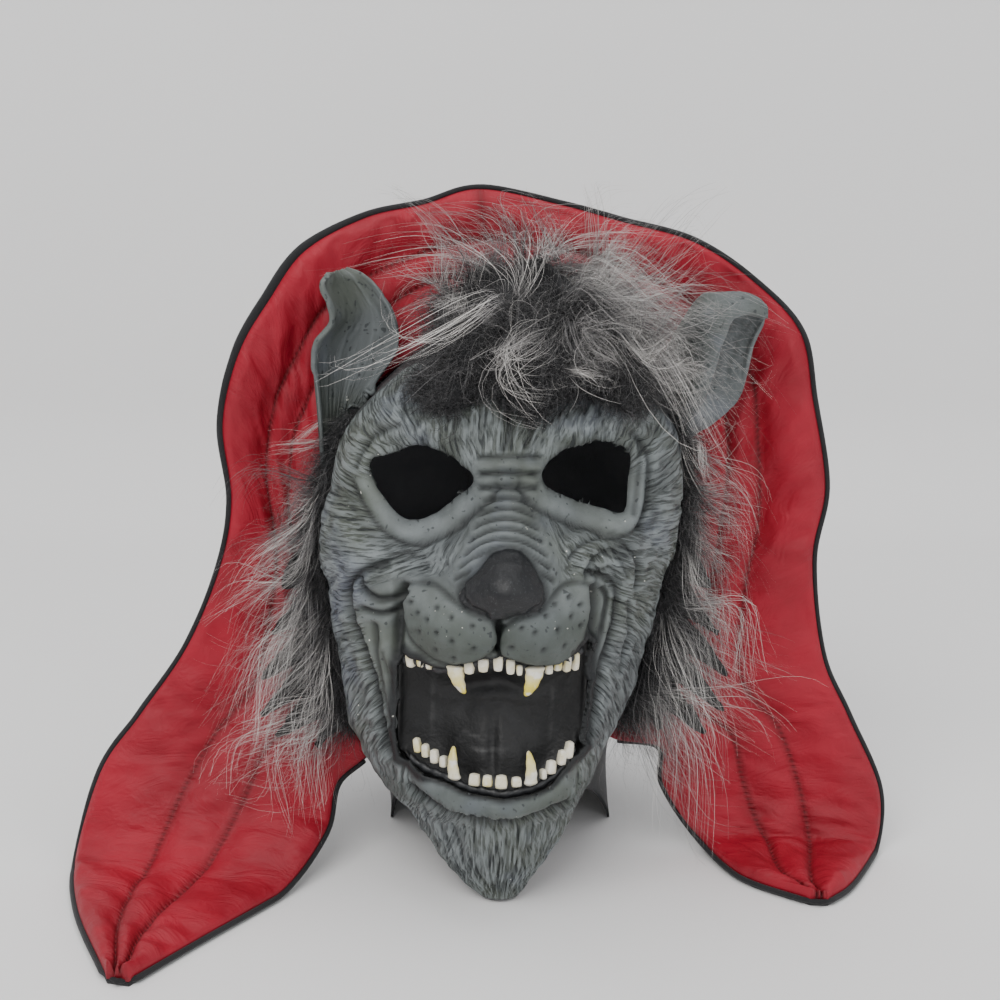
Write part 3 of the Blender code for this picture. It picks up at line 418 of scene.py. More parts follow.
def backNormal(along, back):
    return outwardAt(backPoint, along, back, 0.004)


def hoodEdges():
    floor = hoodShape["shellWall"] + hoodShape["gap"]
    inner = []
    outer = []
    for outX, outY, outZ, inX, inY, inZ, seat, bow in hoodStations:
        if seat is None:
            inner.append((inX * hoodShape["halfWidth"], inY * hoodShape["depth"],
                          max(inZ * hoodShape["height"], floor)))
        else:
            away = backNormal(seat, hoodShape["seat"]) * (hoodShape["shellWall"] + hoodShape["clear"])
            inner.append(tuple(backPoint(seat, hoodShape["seat"]) + away))
        outer.append((outX * hoodShape["halfWidth"], outY * hoodShape["depth"],
                      max(outZ * hoodShape["height"], floor)))
    return np.array(inner), np.array(outer)


hoodInner, hoodOuter = hoodEdges()


# Between lining and shell: along the stations, over from the inner to the outer edge
def hoodPoint(along, over):
    along, over = np.broadcast_arrays(np.asarray(along, float), np.asarray(over, float))
    at = along * (len(hoodStations) - 1)
    keys = np.arange(len(hoodStations))
    bow = smoothCurve(keys, [row[-1] for row in hoodStations], at) * hoodShape["depth"]
    first = np.stack([smoothCurve(keys, hoodInner[:, axis], at) for axis in range(3)], axis=-1)
    last = np.stack([smoothCurve(keys, hoodOuter[:, axis], at) for axis in range(3)], axis=-1)
    point = first + (last - first) * over[..., None]
    point[..., 1] += bow * 4 * over * (1 - over)
    point[..., 2] = np.maximum(point[..., 2], hoodShape["shellWall"] + hoodShape["gap"])
    return point


# Smooth uneven noise from -1 to 1, one bump for each whole step of u and v
def unevenness(u, v, seed):
    lattice = np.random.default_rng(seed).uniform(-1, 1, (128, 128))
    u, v = np.broadcast_arrays(np.asarray(u, float), np.asarray(v, float))
    column = np.floor(u).astype(int)
    row = np.floor(v).astype(int)
    shareU = ease(0, 1, u - column)
    shareV = ease(0, 1, v - row)

    def at(columns, rows):
        return lattice[rows % 128, columns % 128]

    low = at(column, row) * (1 - shareU) + at(column + 1, row) * shareU
    high = at(column, row + 1) * (1 - shareU) + at(column + 1, row + 1) * shareU
    return low * (1 - shareV) + high * shareV


# A smooth line through a few points
def smoothLine(points, closed=False, cuts=7):
    points = np.array(points, float)
    count = len(points)
    made = []
    for index in range(count if closed else count - 1):
        near = [index - 1, index, index + 1, index + 2]
        if closed:
            near = [spot % count for spot in near]
        else:
            near = [min(max(spot, 0), count - 1) for spot in near]
        a, b, c, d = (points[spot] for spot in near)
        for step in range(cuts):
            t = step / cuts
            made.append(0.5 * (2 * b + (c - a) * t + (2 * a - 5 * b + 4 * c - d) * t * t
                               + (3 * b - a - 3 * c + d) * t ** 3))
    if not closed:
        made.append(points[-1])
    return np.array(made)


faceScale = np.array((faceShape["width"], faceShape["height"]))


# Distance from a line drawn in shares of the face, and the line's nearest point, in metres
def awayFrom(x, z, points, closed=False):
    line = smoothLine(points, closed) * faceScale
    ends = np.roll(line, -1, axis=0) if closed else line[1:]
    best = np.full(x.shape, 1.0)
    nearX = np.zeros_like(x)
    nearZ = np.zeros_like(z)
    for (startX, startZ), (endX, endZ) in zip(line, ends):
        runX = endX - startX
        runZ = endZ - startZ
        share = ((x - startX) * runX + (z - startZ) * runZ) / (runX * runX + runZ * runZ + 1e-12)
        share = np.clip(share, 0, 1)
        spotX = startX + share * runX
        spotZ = startZ + share * runZ
        distance = np.hypot(x - spotX, z - spotZ)
        closer = distance < best
        best = np.where(closer, distance, best)
        nearX = np.where(closer, spotX, nearX)
        nearZ = np.where(closer, spotZ, nearZ)
    return best, nearX, nearZ


def isInside(x, z, points):
    line = smoothLine(points, True) * faceScale
    inside = np.zeros(x.shape, bool)
    for (startX, startZ), (endX, endZ) in zip(line, np.roll(line, -1, axis=0)):
        crosses = (startZ > z) != (endZ > z)
        with np.errstate(divide="ignore", invalid="ignore"):
            at = (endX - startX) * (z - startZ) / (endZ - startZ) + startX
        inside ^= crosses & (x < at)
    return inside


# Distance from a closed outline, below 0 inside it
def signedAway(x, z, points):
    distance, nearX, nearZ = awayFrom(x, z, points, True)
    return np.where(isInside(x, z, points), -distance, distance)


# A sheet of faces whose corners are placed by an array of rows by columns
def gridMesh(name, points):
    rows, columns = points.shape[0] - 1, points.shape[1] - 1
    bm = bmesh.new()
    bmesh.ops.create_grid(bm, x_segments=columns, y_segments=rows, size=0.5)
    mesh = bpy.data.meshes.new(name)
    bm.to_mesh(mesh)
    bm.free()
    mesh.vertices.foreach_set("co", (points + standShift).reshape(-1))
    mesh.update()
    return mesh


# A number at each corner for each name, which the materials read
def setAttributes(mesh, **named):
    for name, values in named.items():
        made = mesh.attributes.new(name, "FLOAT", "POINT")
        made.data.foreach_set("value", np.asarray(values, float).reshape(-1))


# The piece's own map from two numbers at each corner
def setMap(mesh, u, v):
    corners = np.empty(len(mesh.loops), int)
    mesh.loops.foreach_get("vertex_index", corners)
    pairs = np.stack([np.asarray(u).reshape(-1)[corners], np.asarray(v).reshape(-1)[corners]], axis=-1)
    mesh.uv_layers.new(name="UVMap").data.foreach_set("uv", pairs.reshape(-1))


def closeAndTurnOut(mesh, merge):
    bm = bmesh.new()
    bm.from_mesh(mesh)
    bmesh.ops.remove_doubles(bm, verts=bm.verts, dist=merge)
    bmesh.ops.recalc_face_normals(bm, faces=bm.faces)
    bm.to_mesh(mesh)
    bm.free()


def addPiece(name, mesh, material, replaced=()):
    piece = bpy.data.objects.new(name, mesh)
    bpy.context.scene.collection.objects.link(piece)
    mesh.materials.append(material)
    mesh.shade_smooth()
    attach(piece, "root")
    if replaced:
        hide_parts(*replaced)
    return piece


def thicken(piece, thickness, offset, group=None, least=0.0):
    made = piece.modifiers.new("wall", "SOLIDIFY")
    made.thickness = thickness
    made.offset = offset
    made.use_rim = True
    if group is not None:
        weights = piece.vertex_groups.new(name="thickness")
        for index, weight in enumerate(np.asarray(group).reshape(-1)):
            weights.add([index], float(weight), "REPLACE")
        made.vertex_group = "thickness"
        made.thickness_vertex_group = least
    return made


def gridShares(columns, rows):
    return np.meshgrid(np.linspace(0, 1, columns + 1), np.linspace(0, 1, rows + 1))


def gridNormals(points):
    return unit(np.cross(np.gradient(points, axis=1), np.gradient(points, axis=0)))


# Shader maths: a socket with operators that add Math nodes
class Wire:
    def __init__(self, socket):
        self.socket = socket

    def maths(self, operation, first, second=0.0, clamp=False):
        return addNode(self.socket.id_data, "ShaderNodeMath", {"operation": operation, "use_clamp": clamp},
                       {0: first, 1: second})

    def __add__(self, other):
        return self.maths("ADD", self, other)

    def __radd__(self, other):
        return self.maths("ADD", other, self)

    def __sub__(self, other):
        return self.maths("SUBTRACT", self, other)

    def __rsub__(self, other):
        return self.maths("SUBTRACT", other, self)

    def __mul__(self, other):
        return self.maths("MULTIPLY", self, other)

    def __rmul__(self, other):
        return self.maths("MULTIPLY", other, self)

    def __truediv__(self, other):
        return self.maths("DIVIDE", self, other)

    def __pow__(self, other):
        return self.maths("POWER", self, other)

    def clamp(self):
        return self.maths("ADD", self, 0.0, True)

    def sine(self):
        return self.maths("SINE", self)

    def over(self, low, high):  # 0 below low, 1 above high, smooth between
        return addNode(self.socket.id_data, "ShaderNodeMapRange", {"interpolation_type": "SMOOTHSTEP"},
                       {"Value": self, "From Min": low, "From Max": high})


# Any node: its type, its settings, its sockets' values or links, and which output is wanted
def addNode(tree, kind, settings=None, sockets=None, output=0):
    node = tree.nodes.new(kind)
    for name, value in (settings or {}).items():
        if name == "stops":
            ramp = node.color_ramp
            while len(ramp.elements) < len(value):
                ramp.elements.new(0.5)
            for element, (place, colour) in zip(ramp.elements, value):
                element.position = place
                element.color = (*colour, 1.0)
        else:
            setattr(node, name, value)
    for name, value in (sockets or {}).items():
        if isinstance(value, Wire):
            tree.links.new(value.socket, node.inputs[name])
        else:
            node.inputs[name].default_value = value
    return Wire(node.outputs[output])


# A material with a Principled shader: what varies is linked, what doesn't is set on its sockets
class Finish:
    def __init__(self, name):
        self.material = bpy.data.materials.new(name)
        self.material.use_nodes = True
        self.tree = self.material.node_tree
        self.shader = self.tree.nodes["Principled BSDF"]
        self.place = self.add("ShaderNodeTexCoord", output="Object")

    def add(self, kind, settings=None, sockets=None, output=0):
        return addNode(self.tree, kind, settings, sockets, output)

    def noise(self, scale, detail=3.0, roughness=0.55, place=None, distortion=0.0):
        return self.add("ShaderNodeTexNoise", None, {
            "Vector": place or self.place, "Scale": scale, "Detail": detail,
            "Roughness": roughness, "Distortion": distortion})

    def attribute(self, name):
        return self.add("ShaderNodeAttribute", {"attribute_name": name}, None, "Fac")

    def stretched(self, scale, place=None):
        return self.add("ShaderNodeMapping", None, {"Vector": place or self.place, "Scale": scale})

    def mix(self, share, first, second, blend="MIX"):
        node = self.tree.nodes.new("ShaderNodeMix")
        node.data_type = "RGBA"
        node.blend_type = blend
        node.clamp_factor = True
        for index, value in ((0, share), (6, first), (7, second)):
            if isinstance(value, Wire):
                self.tree.links.new(value.socket, node.inputs[index])
            elif index == 0:
                node.inputs[index].default_value = value
            else:
                node.inputs[index].default_value = (*value, 1.0)
        return Wire(node.outputs[2])

    def bump(self, height, distance, strength=1.0, after=None):
        sockets = {"Height": height, "Distance": distance, "Strength": strength}
        if after:
            sockets["Normal"] = after
        return self.add("ShaderNodeBump", None, sockets)

    def link(self, name, value):
        if isinstance(value, Wire):
            self.tree.links.new(value.socket, self.shader.inputs[name])
        else:
            self.shader.inputs[name].default_value = value


latexColours = {
    "pit": (0.006, 0.007, 0.008), "dark": (0.020, 0.024, 0.027), "mid": (0.105, 0.117, 0.119),
    "light": (0.265, 0.295, 0.300), "blue": (0.150, 0.168, 0.215), "green": (0.094, 0.106, 0.088),
    "olive": (0.048, 0.060, 0.052), "nose": (0.008, 0.0085, 0.010), "speck": (0.70, 0.69, 0.62),
}


# Strokes of carved fur: noise drawn out along each of a few ways, weighed by the fur's lie
def furStrokes(finish):
    chart = finish.add("ShaderNodeUVMap", {"uv_map": "UVMap"})
    cosine = finish.attribute("lieCosine")
    sine = finish.attribute("lieSine")
    total = weights = None
    for index in range(carvedFur["ways"]):
        turn = math.pi * index / carvedFur["ways"]
        near = cosine * math.cos(2 * turn) + sine * math.sin(2 * turn)
        weight = near.clamp() ** carvedFur["sharpness"] + 0.0001
        turned = finish.add("ShaderNodeVectorRotate", {"rotation_type": "Z_AXIS"},
                            {"Vector": chart, "Angle": -turn})
        scaled = finish.stretched((carvedFur["along"], carvedFur["across"], 1.0), turned)
        drawn = finish.noise(1.0, 2.0, 0.5, scaled, 0.25) * weight
        total = total + drawn if total else drawn
        weights = weights + weight if weights else weight
    return (total / weights).over(0.33, 0.56)


def latexFinish(name):
    finish = Finish(name)
    relief = finish.attribute("relief")
    furred = finish.attribute("furred")
    shade = finish.attribute("shade")
    nose = finish.attribute("nose")
    patches = finish.noise(38, 4.0, 0.6)
    cloud = finish.noise(14, 2.0)
    grain = finish.noise(900, 3.0, 0.6)
    fine = finish.noise(1900, 2.0, 0.6)
    strokes = furStrokes(finish)
    relief = relief + (strokes - 0.55) * furred * 0.75
    colours = latexColours
    skin = finish.mix(cloud.over(0.38, 0.66), colours["mid"], colours["green"])
    skin = finish.mix(finish.noise(22, 3.0).over(0.52, 0.74) * 0.75, skin, colours["blue"])
    brushed = (relief.over(0.45, 1.0) * (patches.over(0.25, 0.75) * 0.6 + 0.4)
               * (grain * 0.5 + 0.65)).clamp()
    skin = finish.mix(brushed * 0.80, skin, colours["light"])
    skin = finish.mix((1 - relief.over(0.0, 0.40)) * 0.80, skin, colours["dark"])
    skin = finish.mix(patches.over(0.55, 0.80) * 0.35, skin, colours["dark"])
    muzzle = finish.attribute("muzzle")
    skin = finish.mix(muzzle * 0.62, skin, colours["olive"])
    dots = (1 - finish.noise(330, 1.0, 0.4).over(0.26, 0.33)) * (1 - furred) * 0.7
    skin = finish.mix(dots, skin, colours["dark"])
    # painted shade: the near-black pit colour darkens the creases, pits and hollows that the shade mask
    # marks
    skin = finish.mix(shade, skin, colours["pit"])
    leather = finish.mix(grain.over(0.55, 0.75) * 0.35, colours["nose"], colours["mid"])
    skin = finish.mix(nose, skin, leather)
    specks = finish.noise(420, 1.0, 0.4).over(0.765, 0.79) * finish.noise(26, 2.0).over(0.5, 0.6)
    skin = finish.mix(specks * 0.8, skin, colours["speck"])
    finish.link("Base Color", skin)
    finish.link("Roughness", (0.60 + patches * 0.16 - nose * 0.26 - shade * 0.10).clamp())
    finish.link("Specular IOR Level", 0.42)
    height = grain * 0.6 + fine * 0.4 + finish.noise(240, 3.0, 0.6, distortion=0.5) * 1.6
    carved = finish.bump(strokes * furred, 0.0012, 0.9)
    finish.link("Normal", finish.bump(height, 0.00035, 0.6, carved))
    return finish.material


def satinFinish():
    finish = Finish("red satin")
    chart = finish.add("ShaderNodeUVMap", {"uv_map": "UVMap"})
    along = finish.add("ShaderNodeSeparateXYZ", None, {"Vector": chart})
    seam = finish.attribute("seam")
    cloud = finish.noise(26, 3.0)
    threads = finish.noise(1.0, 2.0, 0.6, finish.stretched((900.0, 5200.0, 1.0), chart))
    slubs = finish.noise(1.0, 2.0, 0.5, finish.stretched((60.0, 1500.0, 1.0), chart))
    red = finish.mix(cloud.over(0.3, 0.7), (0.235, 0.0026, 0.0125), (0.335, 0.0048, 0.0200))
    red = finish.mix(threads * 0.25, red, (0.40, 0.009, 0.028))
    red = finish.mix(slubs.over(0.60, 0.80) * 0.10, red, (0.26, 0.003, 0.010))
    # painted shade: the satin darkens in the valleys along the quilting seams
    red = finish.mix(seam * 0.60, red, (0.11, 0.001, 0.004))
    stitch = (along * (2 * math.pi / 0.0032)).sine().over(-0.1, 0.5)
    line = finish.attribute("stitch") * stitch
    red = finish.mix(line * 0.85, red, (0.07, 0.0005, 0.003))
    finish.link("Base Color", red)
    finish.link("Roughness", (0.46 + cloud * 0.12 + threads * 0.06).clamp())
    finish.link("Specular IOR Level", 0.4)
    weave = finish.bump(threads + slubs * 0.6, 0.00022, 0.7)
    puckers = finish.noise(1.0, 2.0, 0.55, finish.stretched((420.0, 34.0, 1.0), chart))
    wrinkles = finish.noise(1.0, 3.0, 0.6, finish.stretched((62.0, 30.0, 1.0), chart), 1.6)
    height = puckers * (0.10 + seam * 1.5) + wrinkles * 1.5 - line * 0.8
    creased = finish.bump(height, 0.0017, 0.60, weave)
    finish.link("Normal", creased)
    return finish.material


def clothFinish(name, low, high, threadScale=1500.0, sheen=0.15, lit=None):
    finish = Finish(name)
    warp = finish.noise(1.0, 1.0, 0.5, finish.stretched((threadScale, threadScale * 0.12, threadScale)))
    weft = finish.noise(1.0, 1.0, 0.5, finish.stretched((threadScale, threadScale, threadScale * 0.12)))
    lint = finish.noise(600, 2.0, 0.7)
    cloud = finish.noise(30, 3.0)
    colour = finish.mix(cloud.over(0.3, 0.7), low, high)
    colour = finish.mix(lint.over(0.68, 0.80) * 0.25, colour, (0.16, 0.16, 0.165))
    # painted light: grey where the attribute is high, near-black cloth elsewhere
    if lit:
        colour = finish.mix(finish.attribute(lit), (0.012, 0.012, 0.013), colour)
    finish.link("Base Color", colour)
    finish.link("Roughness", (0.72 + cloud * 0.2).clamp())
    finish.link("Sheen Weight", sheen)
    finish.link("Specular IOR Level", 0.35)
    finish.link("Normal", finish.bump(warp + weft, 0.00030, 0.6))
    return finish.material


def mouthFinish():
    finish = Finish("mouth black")
    patches = finish.noise(120, 4.0, 0.6)
    ridge = finish.attribute("ridge")
    colour = finish.mix(patches.over(0.45, 0.75) * 0.5, (0.007, 0.007, 0.0075), (0.030, 0.030, 0.032))
    # painted highlight: the ridge attribute lays grey streaks over the black, broken up by patches
    finish.link("Base Color", finish.mix(ridge * patches.over(0.35, 0.6), colour, (0.085, 0.085, 0.085)))
    finish.link("Roughness", (0.40 + patches * 0.25).clamp())
    finish.link("Normal", finish.bump(patches + finish.noise(500, 2.0) * 0.5, 0.0010, 0.6))
    return finish.material


def toothFinish():
    finish = Finish("tooth enamel")
    stain = finish.attribute("stain")
    gum = finish.attribute("gum")
    patches = finish.noise(260, 3.0)
    blotches = finish.noise(150, 2.0)
    ivory = finish.mix(patches.over(0.35, 0.7), (0.84, 0.81, 0.72), (0.74, 0.68, 0.50))
    ivory = finish.mix((stain * 1.5 * blotches.over(0.38, 0.50)).clamp(), ivory, (0.74, 0.61, 0.065))
    ivory = finish.mix(finish.noise(900, 2.0).over(0.64, 0.74) * 0.35, ivory, (0.20, 0.17, 0.12))
    finish.link("Base Color", finish.mix(gum, ivory, (0.016, 0.017, 0.019)))
    finish.link("Roughness", (0.34 + patches * 0.16 + gum * 0.10).clamp())
    finish.link("Coat Weight", (0.35 - gum * 0.20).clamp())
    finish.link("Normal", finish.bump(patches + finish.noise(1400, 2.0) * 0.4, 0.00030, 0.5))
    return finish.material


def hairFinish(name):
    finish = Finish(name)
    tone = finish.attribute("tone")
    colour = finish.add("ShaderNodeValToRGB", {"stops": [
        (0.0, (0.006, 0.006, 0.007)), (0.30, (0.030, 0.029, 0.031)), (0.55, (0.15, 0.145, 0.145)),
        (0.80, (0.46, 0.44, 0.42)), (1.0, (0.80, 0.77, 0.73))]}, {"Fac": tone})
    finish.link("Base Color", colour)
    finish.link("Roughness", (0.42 + finish.noise(300, 1.0) * 0.2).clamp())
    finish.link("Specular IOR Level", 0.5)
    finish.link("Sheen Weight", 0.2)
    return finish.material


print("forms ready")


# Which way the carved fur lies everywhere, between the places that furWays names
def furAngles(across, height):
    double = np.zeros(across.shape + (2,))
    total = np.zeros(across.shape)
    for spotX, spotUp, degrees in furWays:
        distance = ((across - spotX) * faceScale[0]) ** 2 + ((height - spotUp) * faceScale[1]) ** 2
        weight = 1 / (distance + 0.00002) ** 1.5
        turned = math.radians(degrees) * 2
        double[..., 0] += weight * math.cos(turned)
        double[..., 1] += weight * math.sin(turned)
        total += weight
    wobble = 0.20 * unevenness(across * 16 + 40, height * 22 + 40, 31)
    return 0.5 * np.arctan2(double[..., 1], double[..., 0]) + wobble


# Random grain combed along the fur's lie, so that it becomes strokes
def combedStrokes(angles, points):
    rows, columns = angles.shape
    grain = np.random.default_rng(carvedFur["seed"]).random((rows, columns))
    for axis in (0, 1):
        grain = (np.roll(grain, 1, axis) + 2 * grain + np.roll(grain, -1, axis)) / 4
    spanColumn = np.linalg.norm(np.gradient(points, axis=1), axis=-1) + 1e-6
    spanRow = np.linalg.norm(np.gradient(points, axis=0), axis=-1) + 1e-6
    step = carvedFur["reach"] / carvedFur["steps"]
    startColumn, startRow = np.meshgrid(np.arange(columns, dtype=float), np.arange(rows, dtype=float))
    total = grain.copy()
    for way in (1, -1):
        column = startColumn.copy()
        row = startRow.copy()
        lastX = np.cos(angles) * way
        lastY = np.sin(angles) * way
        for index in range(carvedFur["steps"]):
            nearColumn = np.clip(np.rint(column).astype(int), 0, columns - 1)
            nearRow = np.clip(np.rint(row).astype(int), 0, rows - 1)
            nextX = np.cos(angles[nearRow, nearColumn])
            nextY = np.sin(angles[nearRow, nearColumn])
            turn = np.where(nextX * lastX + nextY * lastY < 0, -1, 1)
            lastX = nextX * turn
            lastY = nextY * turn
            column = np.clip(column + lastX * step / spanColumn[nearRow, nearColumn], 0, columns - 1.001)
            row = np.clip(row + lastY * step / spanRow[nearRow, nearColumn], 0, rows - 1.001)
            lowColumn = column.astype(int)
            lowRow = row.astype(int)
            shareX = column - lowColumn
            shareY = row - lowRow
            total += ((grain[lowRow, lowColumn] * (1 - shareX) + grain[lowRow, lowColumn + 1] * shareX)
                      * (1 - shareY) + (grain[lowRow + 1, lowColumn] * (1 - shareX)
                                        + grain[lowRow + 1, lowColumn + 1] * shareX) * shareY)
    total = (total - total.mean()) / total.std()
    return 0.5 + 0.5 * np.tanh(total * 1.15)


# Grid places on the face, those next to a hole's edge moved onto it
def faceGrid():
    share, height = gridShares(faceShape["columns"], faceShape["rows"])
    turn = share * 2 - 1
    side = turn * (1 - faceShape["crowding"] * (1 - turn * turn))
    outlines = list(eyeHoles.values()) + [mouthOutline()]
    across, up, out = faceForm(side, height)
    gone = np.zeros(side.shape, bool)
    for outline in outlines:
        inside = isInside(across, up, outline)
        outside = ~inside
        near = outside.copy()
        for rowStep in (-1, 0, 1):
            for columnStep in (-1, 0, 1):
                near |= np.roll(np.roll(outside, rowStep, 0), columnStep, 1)
        rim = inside & near
        distance, nearX, nearZ = awayFrom(across[rim], up[rim], outline, True)
        height[rim] = nearZ / faceShape["height"]
        side[rim] = sideAt(nearX / faceShape["width"], height[rim])
        gone |= inside & ~rim
    return side, height, gone


def mouthOutline():
    stops = np.linspace(mouthEdge[0, 0], mouthEdge[-1, 0], 15)
    top = [(across, float(mouthTop(across))) for across in stops]
    bottom = [(across, float(mouthBottom(across))) for across in stops[::-1]]
    return top + bottom


# How far the carving lifts the face, in millimetres, and how much painted shade darkens its creases, pits
# and hollows
def carveFace(across, height, x, z):
    lift = np.zeros(x.shape)
    shade = np.zeros(x.shape)
    bare = np.zeros(x.shape)
    muzzle = np.zeros(x.shape)
    for name, (rise, half, points) in faceLines.items():
        away = awayFrom(x, z, points)[0] * 1000
        if rise < 0:
            lift += rise * bell(away / half) - 0.42 * rise * bell((away - 2.3 * half) / (1.5 * half))
            shade = np.maximum(shade, 0.88 * min(1, -rise / 2.2) * bell(away / (half * 0.95)))
        else:
            lift += rise * bell(away / half)
    nose = signedAway(x, z, noseEdge) * 1000
    offNose = ease(0.5, 2.0, nose)
    wrinkles = bridgeWrinkles
    for index in range(wrinkles["count"]):
        share = index / (wrinkles["count"] - 1)
        middle = wrinkles["top"] + (wrinkles["bottom"] - wrinkles["top"]) * share
        half = wrinkles["narrow"] + (wrinkles["wide"] - wrinkles["narrow"]) * share
        line = [(wrinkles["centre"] + half * spot, middle - wrinkles["arch"] * (0.3 + share) * spot * spot)
                for spot in (-1, -0.6, -0.2, 0.2, 0.6, 1)]
        away = awayFrom(x, z, line)[0] * 1000
        lift -= offNose * wrinkles["depth"] * bell(away / wrinkles["half"])
        lift += offNose * 0.5 * wrinkles["depth"] * bell((away - 2.0) / 1.3)
        shade = np.maximum(shade, 0.70 * offNose * bell(away / 0.9))
    for outline in eyeHoles.values():
        away = signedAway(x, z, outline) * 1000
        middle = np.mean([point[1] for point in outline])
        lower = np.clip(0.55 - (height - middle) / eyeRings["fade"], 0.15, 1.0)
        lift += lower * eyeRings["ridge"] * bell((away - eyeRings["ridgeAway"]) / eyeRings["ridgeHalf"])
        lift += lower * eyeRings["crease"] * bell((away - eyeRings["creaseAway"]) / eyeRings["creaseHalf"])
        lift += eyeRings["lip"] * bell(away / eyeRings["lipHalf"])
        shade = np.maximum(shade, 0.78 * lower * bell((away - eyeRings["creaseAway"]) / 1.7))
        shade = np.maximum(shade, 0.34 * lower * bell((away - 14.0) / 5.0))
        shade = np.maximum(shade, 0.55 * bell(away / 1.6))
        bare = np.maximum(bare, (1 - ease(7.5, 12.0, away)) * ease(0.25, 0.7, lower))
    lift += 3.6 * (1 - np.exp(np.minimum(nose, 0) / 3.2)) - 1.5 * bell(nose / 1.3)
    shade = np.maximum(shade, 0.65 * bell((nose - 0.4) / 1.2))
    for outline in padEdges.values():
        pad = signedAway(x, z, outline) * 1000
        lift += 2.6 * (1 - np.exp(np.minimum(pad, 0) / 3.0)) - 0.9 * bell(pad / 1.4)
        shade = np.maximum(shade, 0.60 * bell(pad / 1.4))
        muzzle = np.maximum(muzzle, (1 - ease(-1.0, 2.0, pad)) * ease(0.585, 0.52, height))
    for spotX, spotUp in whiskerPits["spots"]:
        away = np.hypot(x - spotX * faceScale[0], z - spotUp * faceScale[1]) * 1000
        lift += -whiskerPits["depth"] * bell(away / whiskerPits["half"])
        lift += whiskerPits["rim"] * bell((away - 1.9) / 0.8)
        shade = np.maximum(shade, 0.95 * bell(away / 1.15))
    mouth = signedAway(x, z, mouthOutline()) * 1000
    corners = ease(0.16, 0.22, across) + ease(0.19, 0.25, -across)
    lower = ease(0.36, 0.30, height)
    reach = 2.4 + 4.5 * np.clip(corners, 0, 1) + 1.0 * lower
    shade = np.maximum(shade, 0.96 * (1 - ease(0.3, 1.0, mouth / reach)) * (mouth < 14))
    lift += 1.0 * bell((mouth - 1.5) / 2.4)
    bare = np.maximum(bare, 1 - ease(-1.0, 3.5, signedAway(x, z, bareEdge) * 1000))
    bare = np.maximum(bare, 1 - ease(3.0, 5.0, mouth))
    muzzle = np.maximum(muzzle, 0.8 * bell((height - 0.215) / 0.030) * (mouth > 0))
    return lift, shade, bare, muzzle, 1 - ease(-0.9, 0.3, nose)


def buildFace(materials):
    side, height, gone = faceGrid()
    x, z, out = faceForm(side, height)
    across = x / faceShape["width"]
    base = faceToWorld(x, z, out)
    normals = gridNormals(base)
    lift, shade, bare, muzzle, nose = carveFace(across, height, x, z)
    strokes = combedStrokes(furAngles(across, height), base)
    furred = 1 - bare
    edge = ease(0.0, 0.06, 1 - np.abs(side)) * ease(0.0, 0.02, height)
    lumps = 0.8 * unevenness(across * 22 + 50, height * 30 + 50, 8)
    lumps += 0.5 * unevenness(across * 48 + 50, height * 70 + 50, 9)
    fur = furred * carvedFur["depth"] * (np.minimum(strokes, 0.86) - 0.62)
    skinGrain = (1 - furred) * 0.26 * unevenness(across * 120 + 60, height * 150 + 60, 12)
    skinGrain += (1 - furred) * 0.30 * unevenness(across * 38 + 60, height * 95 + 60, 13)
    total = (lift + lumps * (0.4 + 0.6 * furred) + fur * 1.25 + skinGrain) * edge * 0.001
    points = base + normals * total[..., None]
    points[..., 2] = np.maximum(points[..., 2], base[..., 2].min())
    mesh = gridMesh("face_latex", points)
    double = furAngles(across, height) * 2
    setAttributes(mesh, lieCosine=np.cos(double), lieSine=np.sin(double), furred=furred)
    wide = np.cumsum(np.linalg.norm(np.diff(base, axis=1, prepend=base[:, :1]), axis=-1), axis=1)
    wide -= wide[:, faceShape["columns"] // 2][:, None]
    tall = np.cumsum(np.linalg.norm(np.diff(base, axis=0, prepend=base[:1]), axis=-1), axis=0)
    setMap(mesh, wide, tall[:, faceShape["columns"] // 2][:, None] + 0 * wide)
    skin = 0.60 + 0.14 * np.clip(lumps, -1, 1) + 0.10 * np.clip(lift, -1, 1)
    relief = furred * (0.25 + 0.5 * strokes) + bare * skin
    setAttributes(mesh, relief=np.clip(relief, 0, 1), shade=np.clip(shade, 0, 1), nose=nose, muzzle=muzzle)
    bm = bmesh.new()
    bm.from_mesh(mesh)
    bm.verts.ensure_lookup_table()
    lost = gone.reshape(-1)
    bmesh.ops.delete(bm, geom=[vert for vert in bm.verts if lost[vert.index]], context="VERTS")
    bm.to_mesh(mesh)
    bm.free()
    face = addPiece("face_latex", mesh, materials["latex"], ("face_shell",))
    mesh.materials.append(materials["latex inside"])
    wall = thicken(face, faceShape["wall"], -1)
    wall.material_offset = 1
    wall.material_offset_rim = 0
    print("face built")


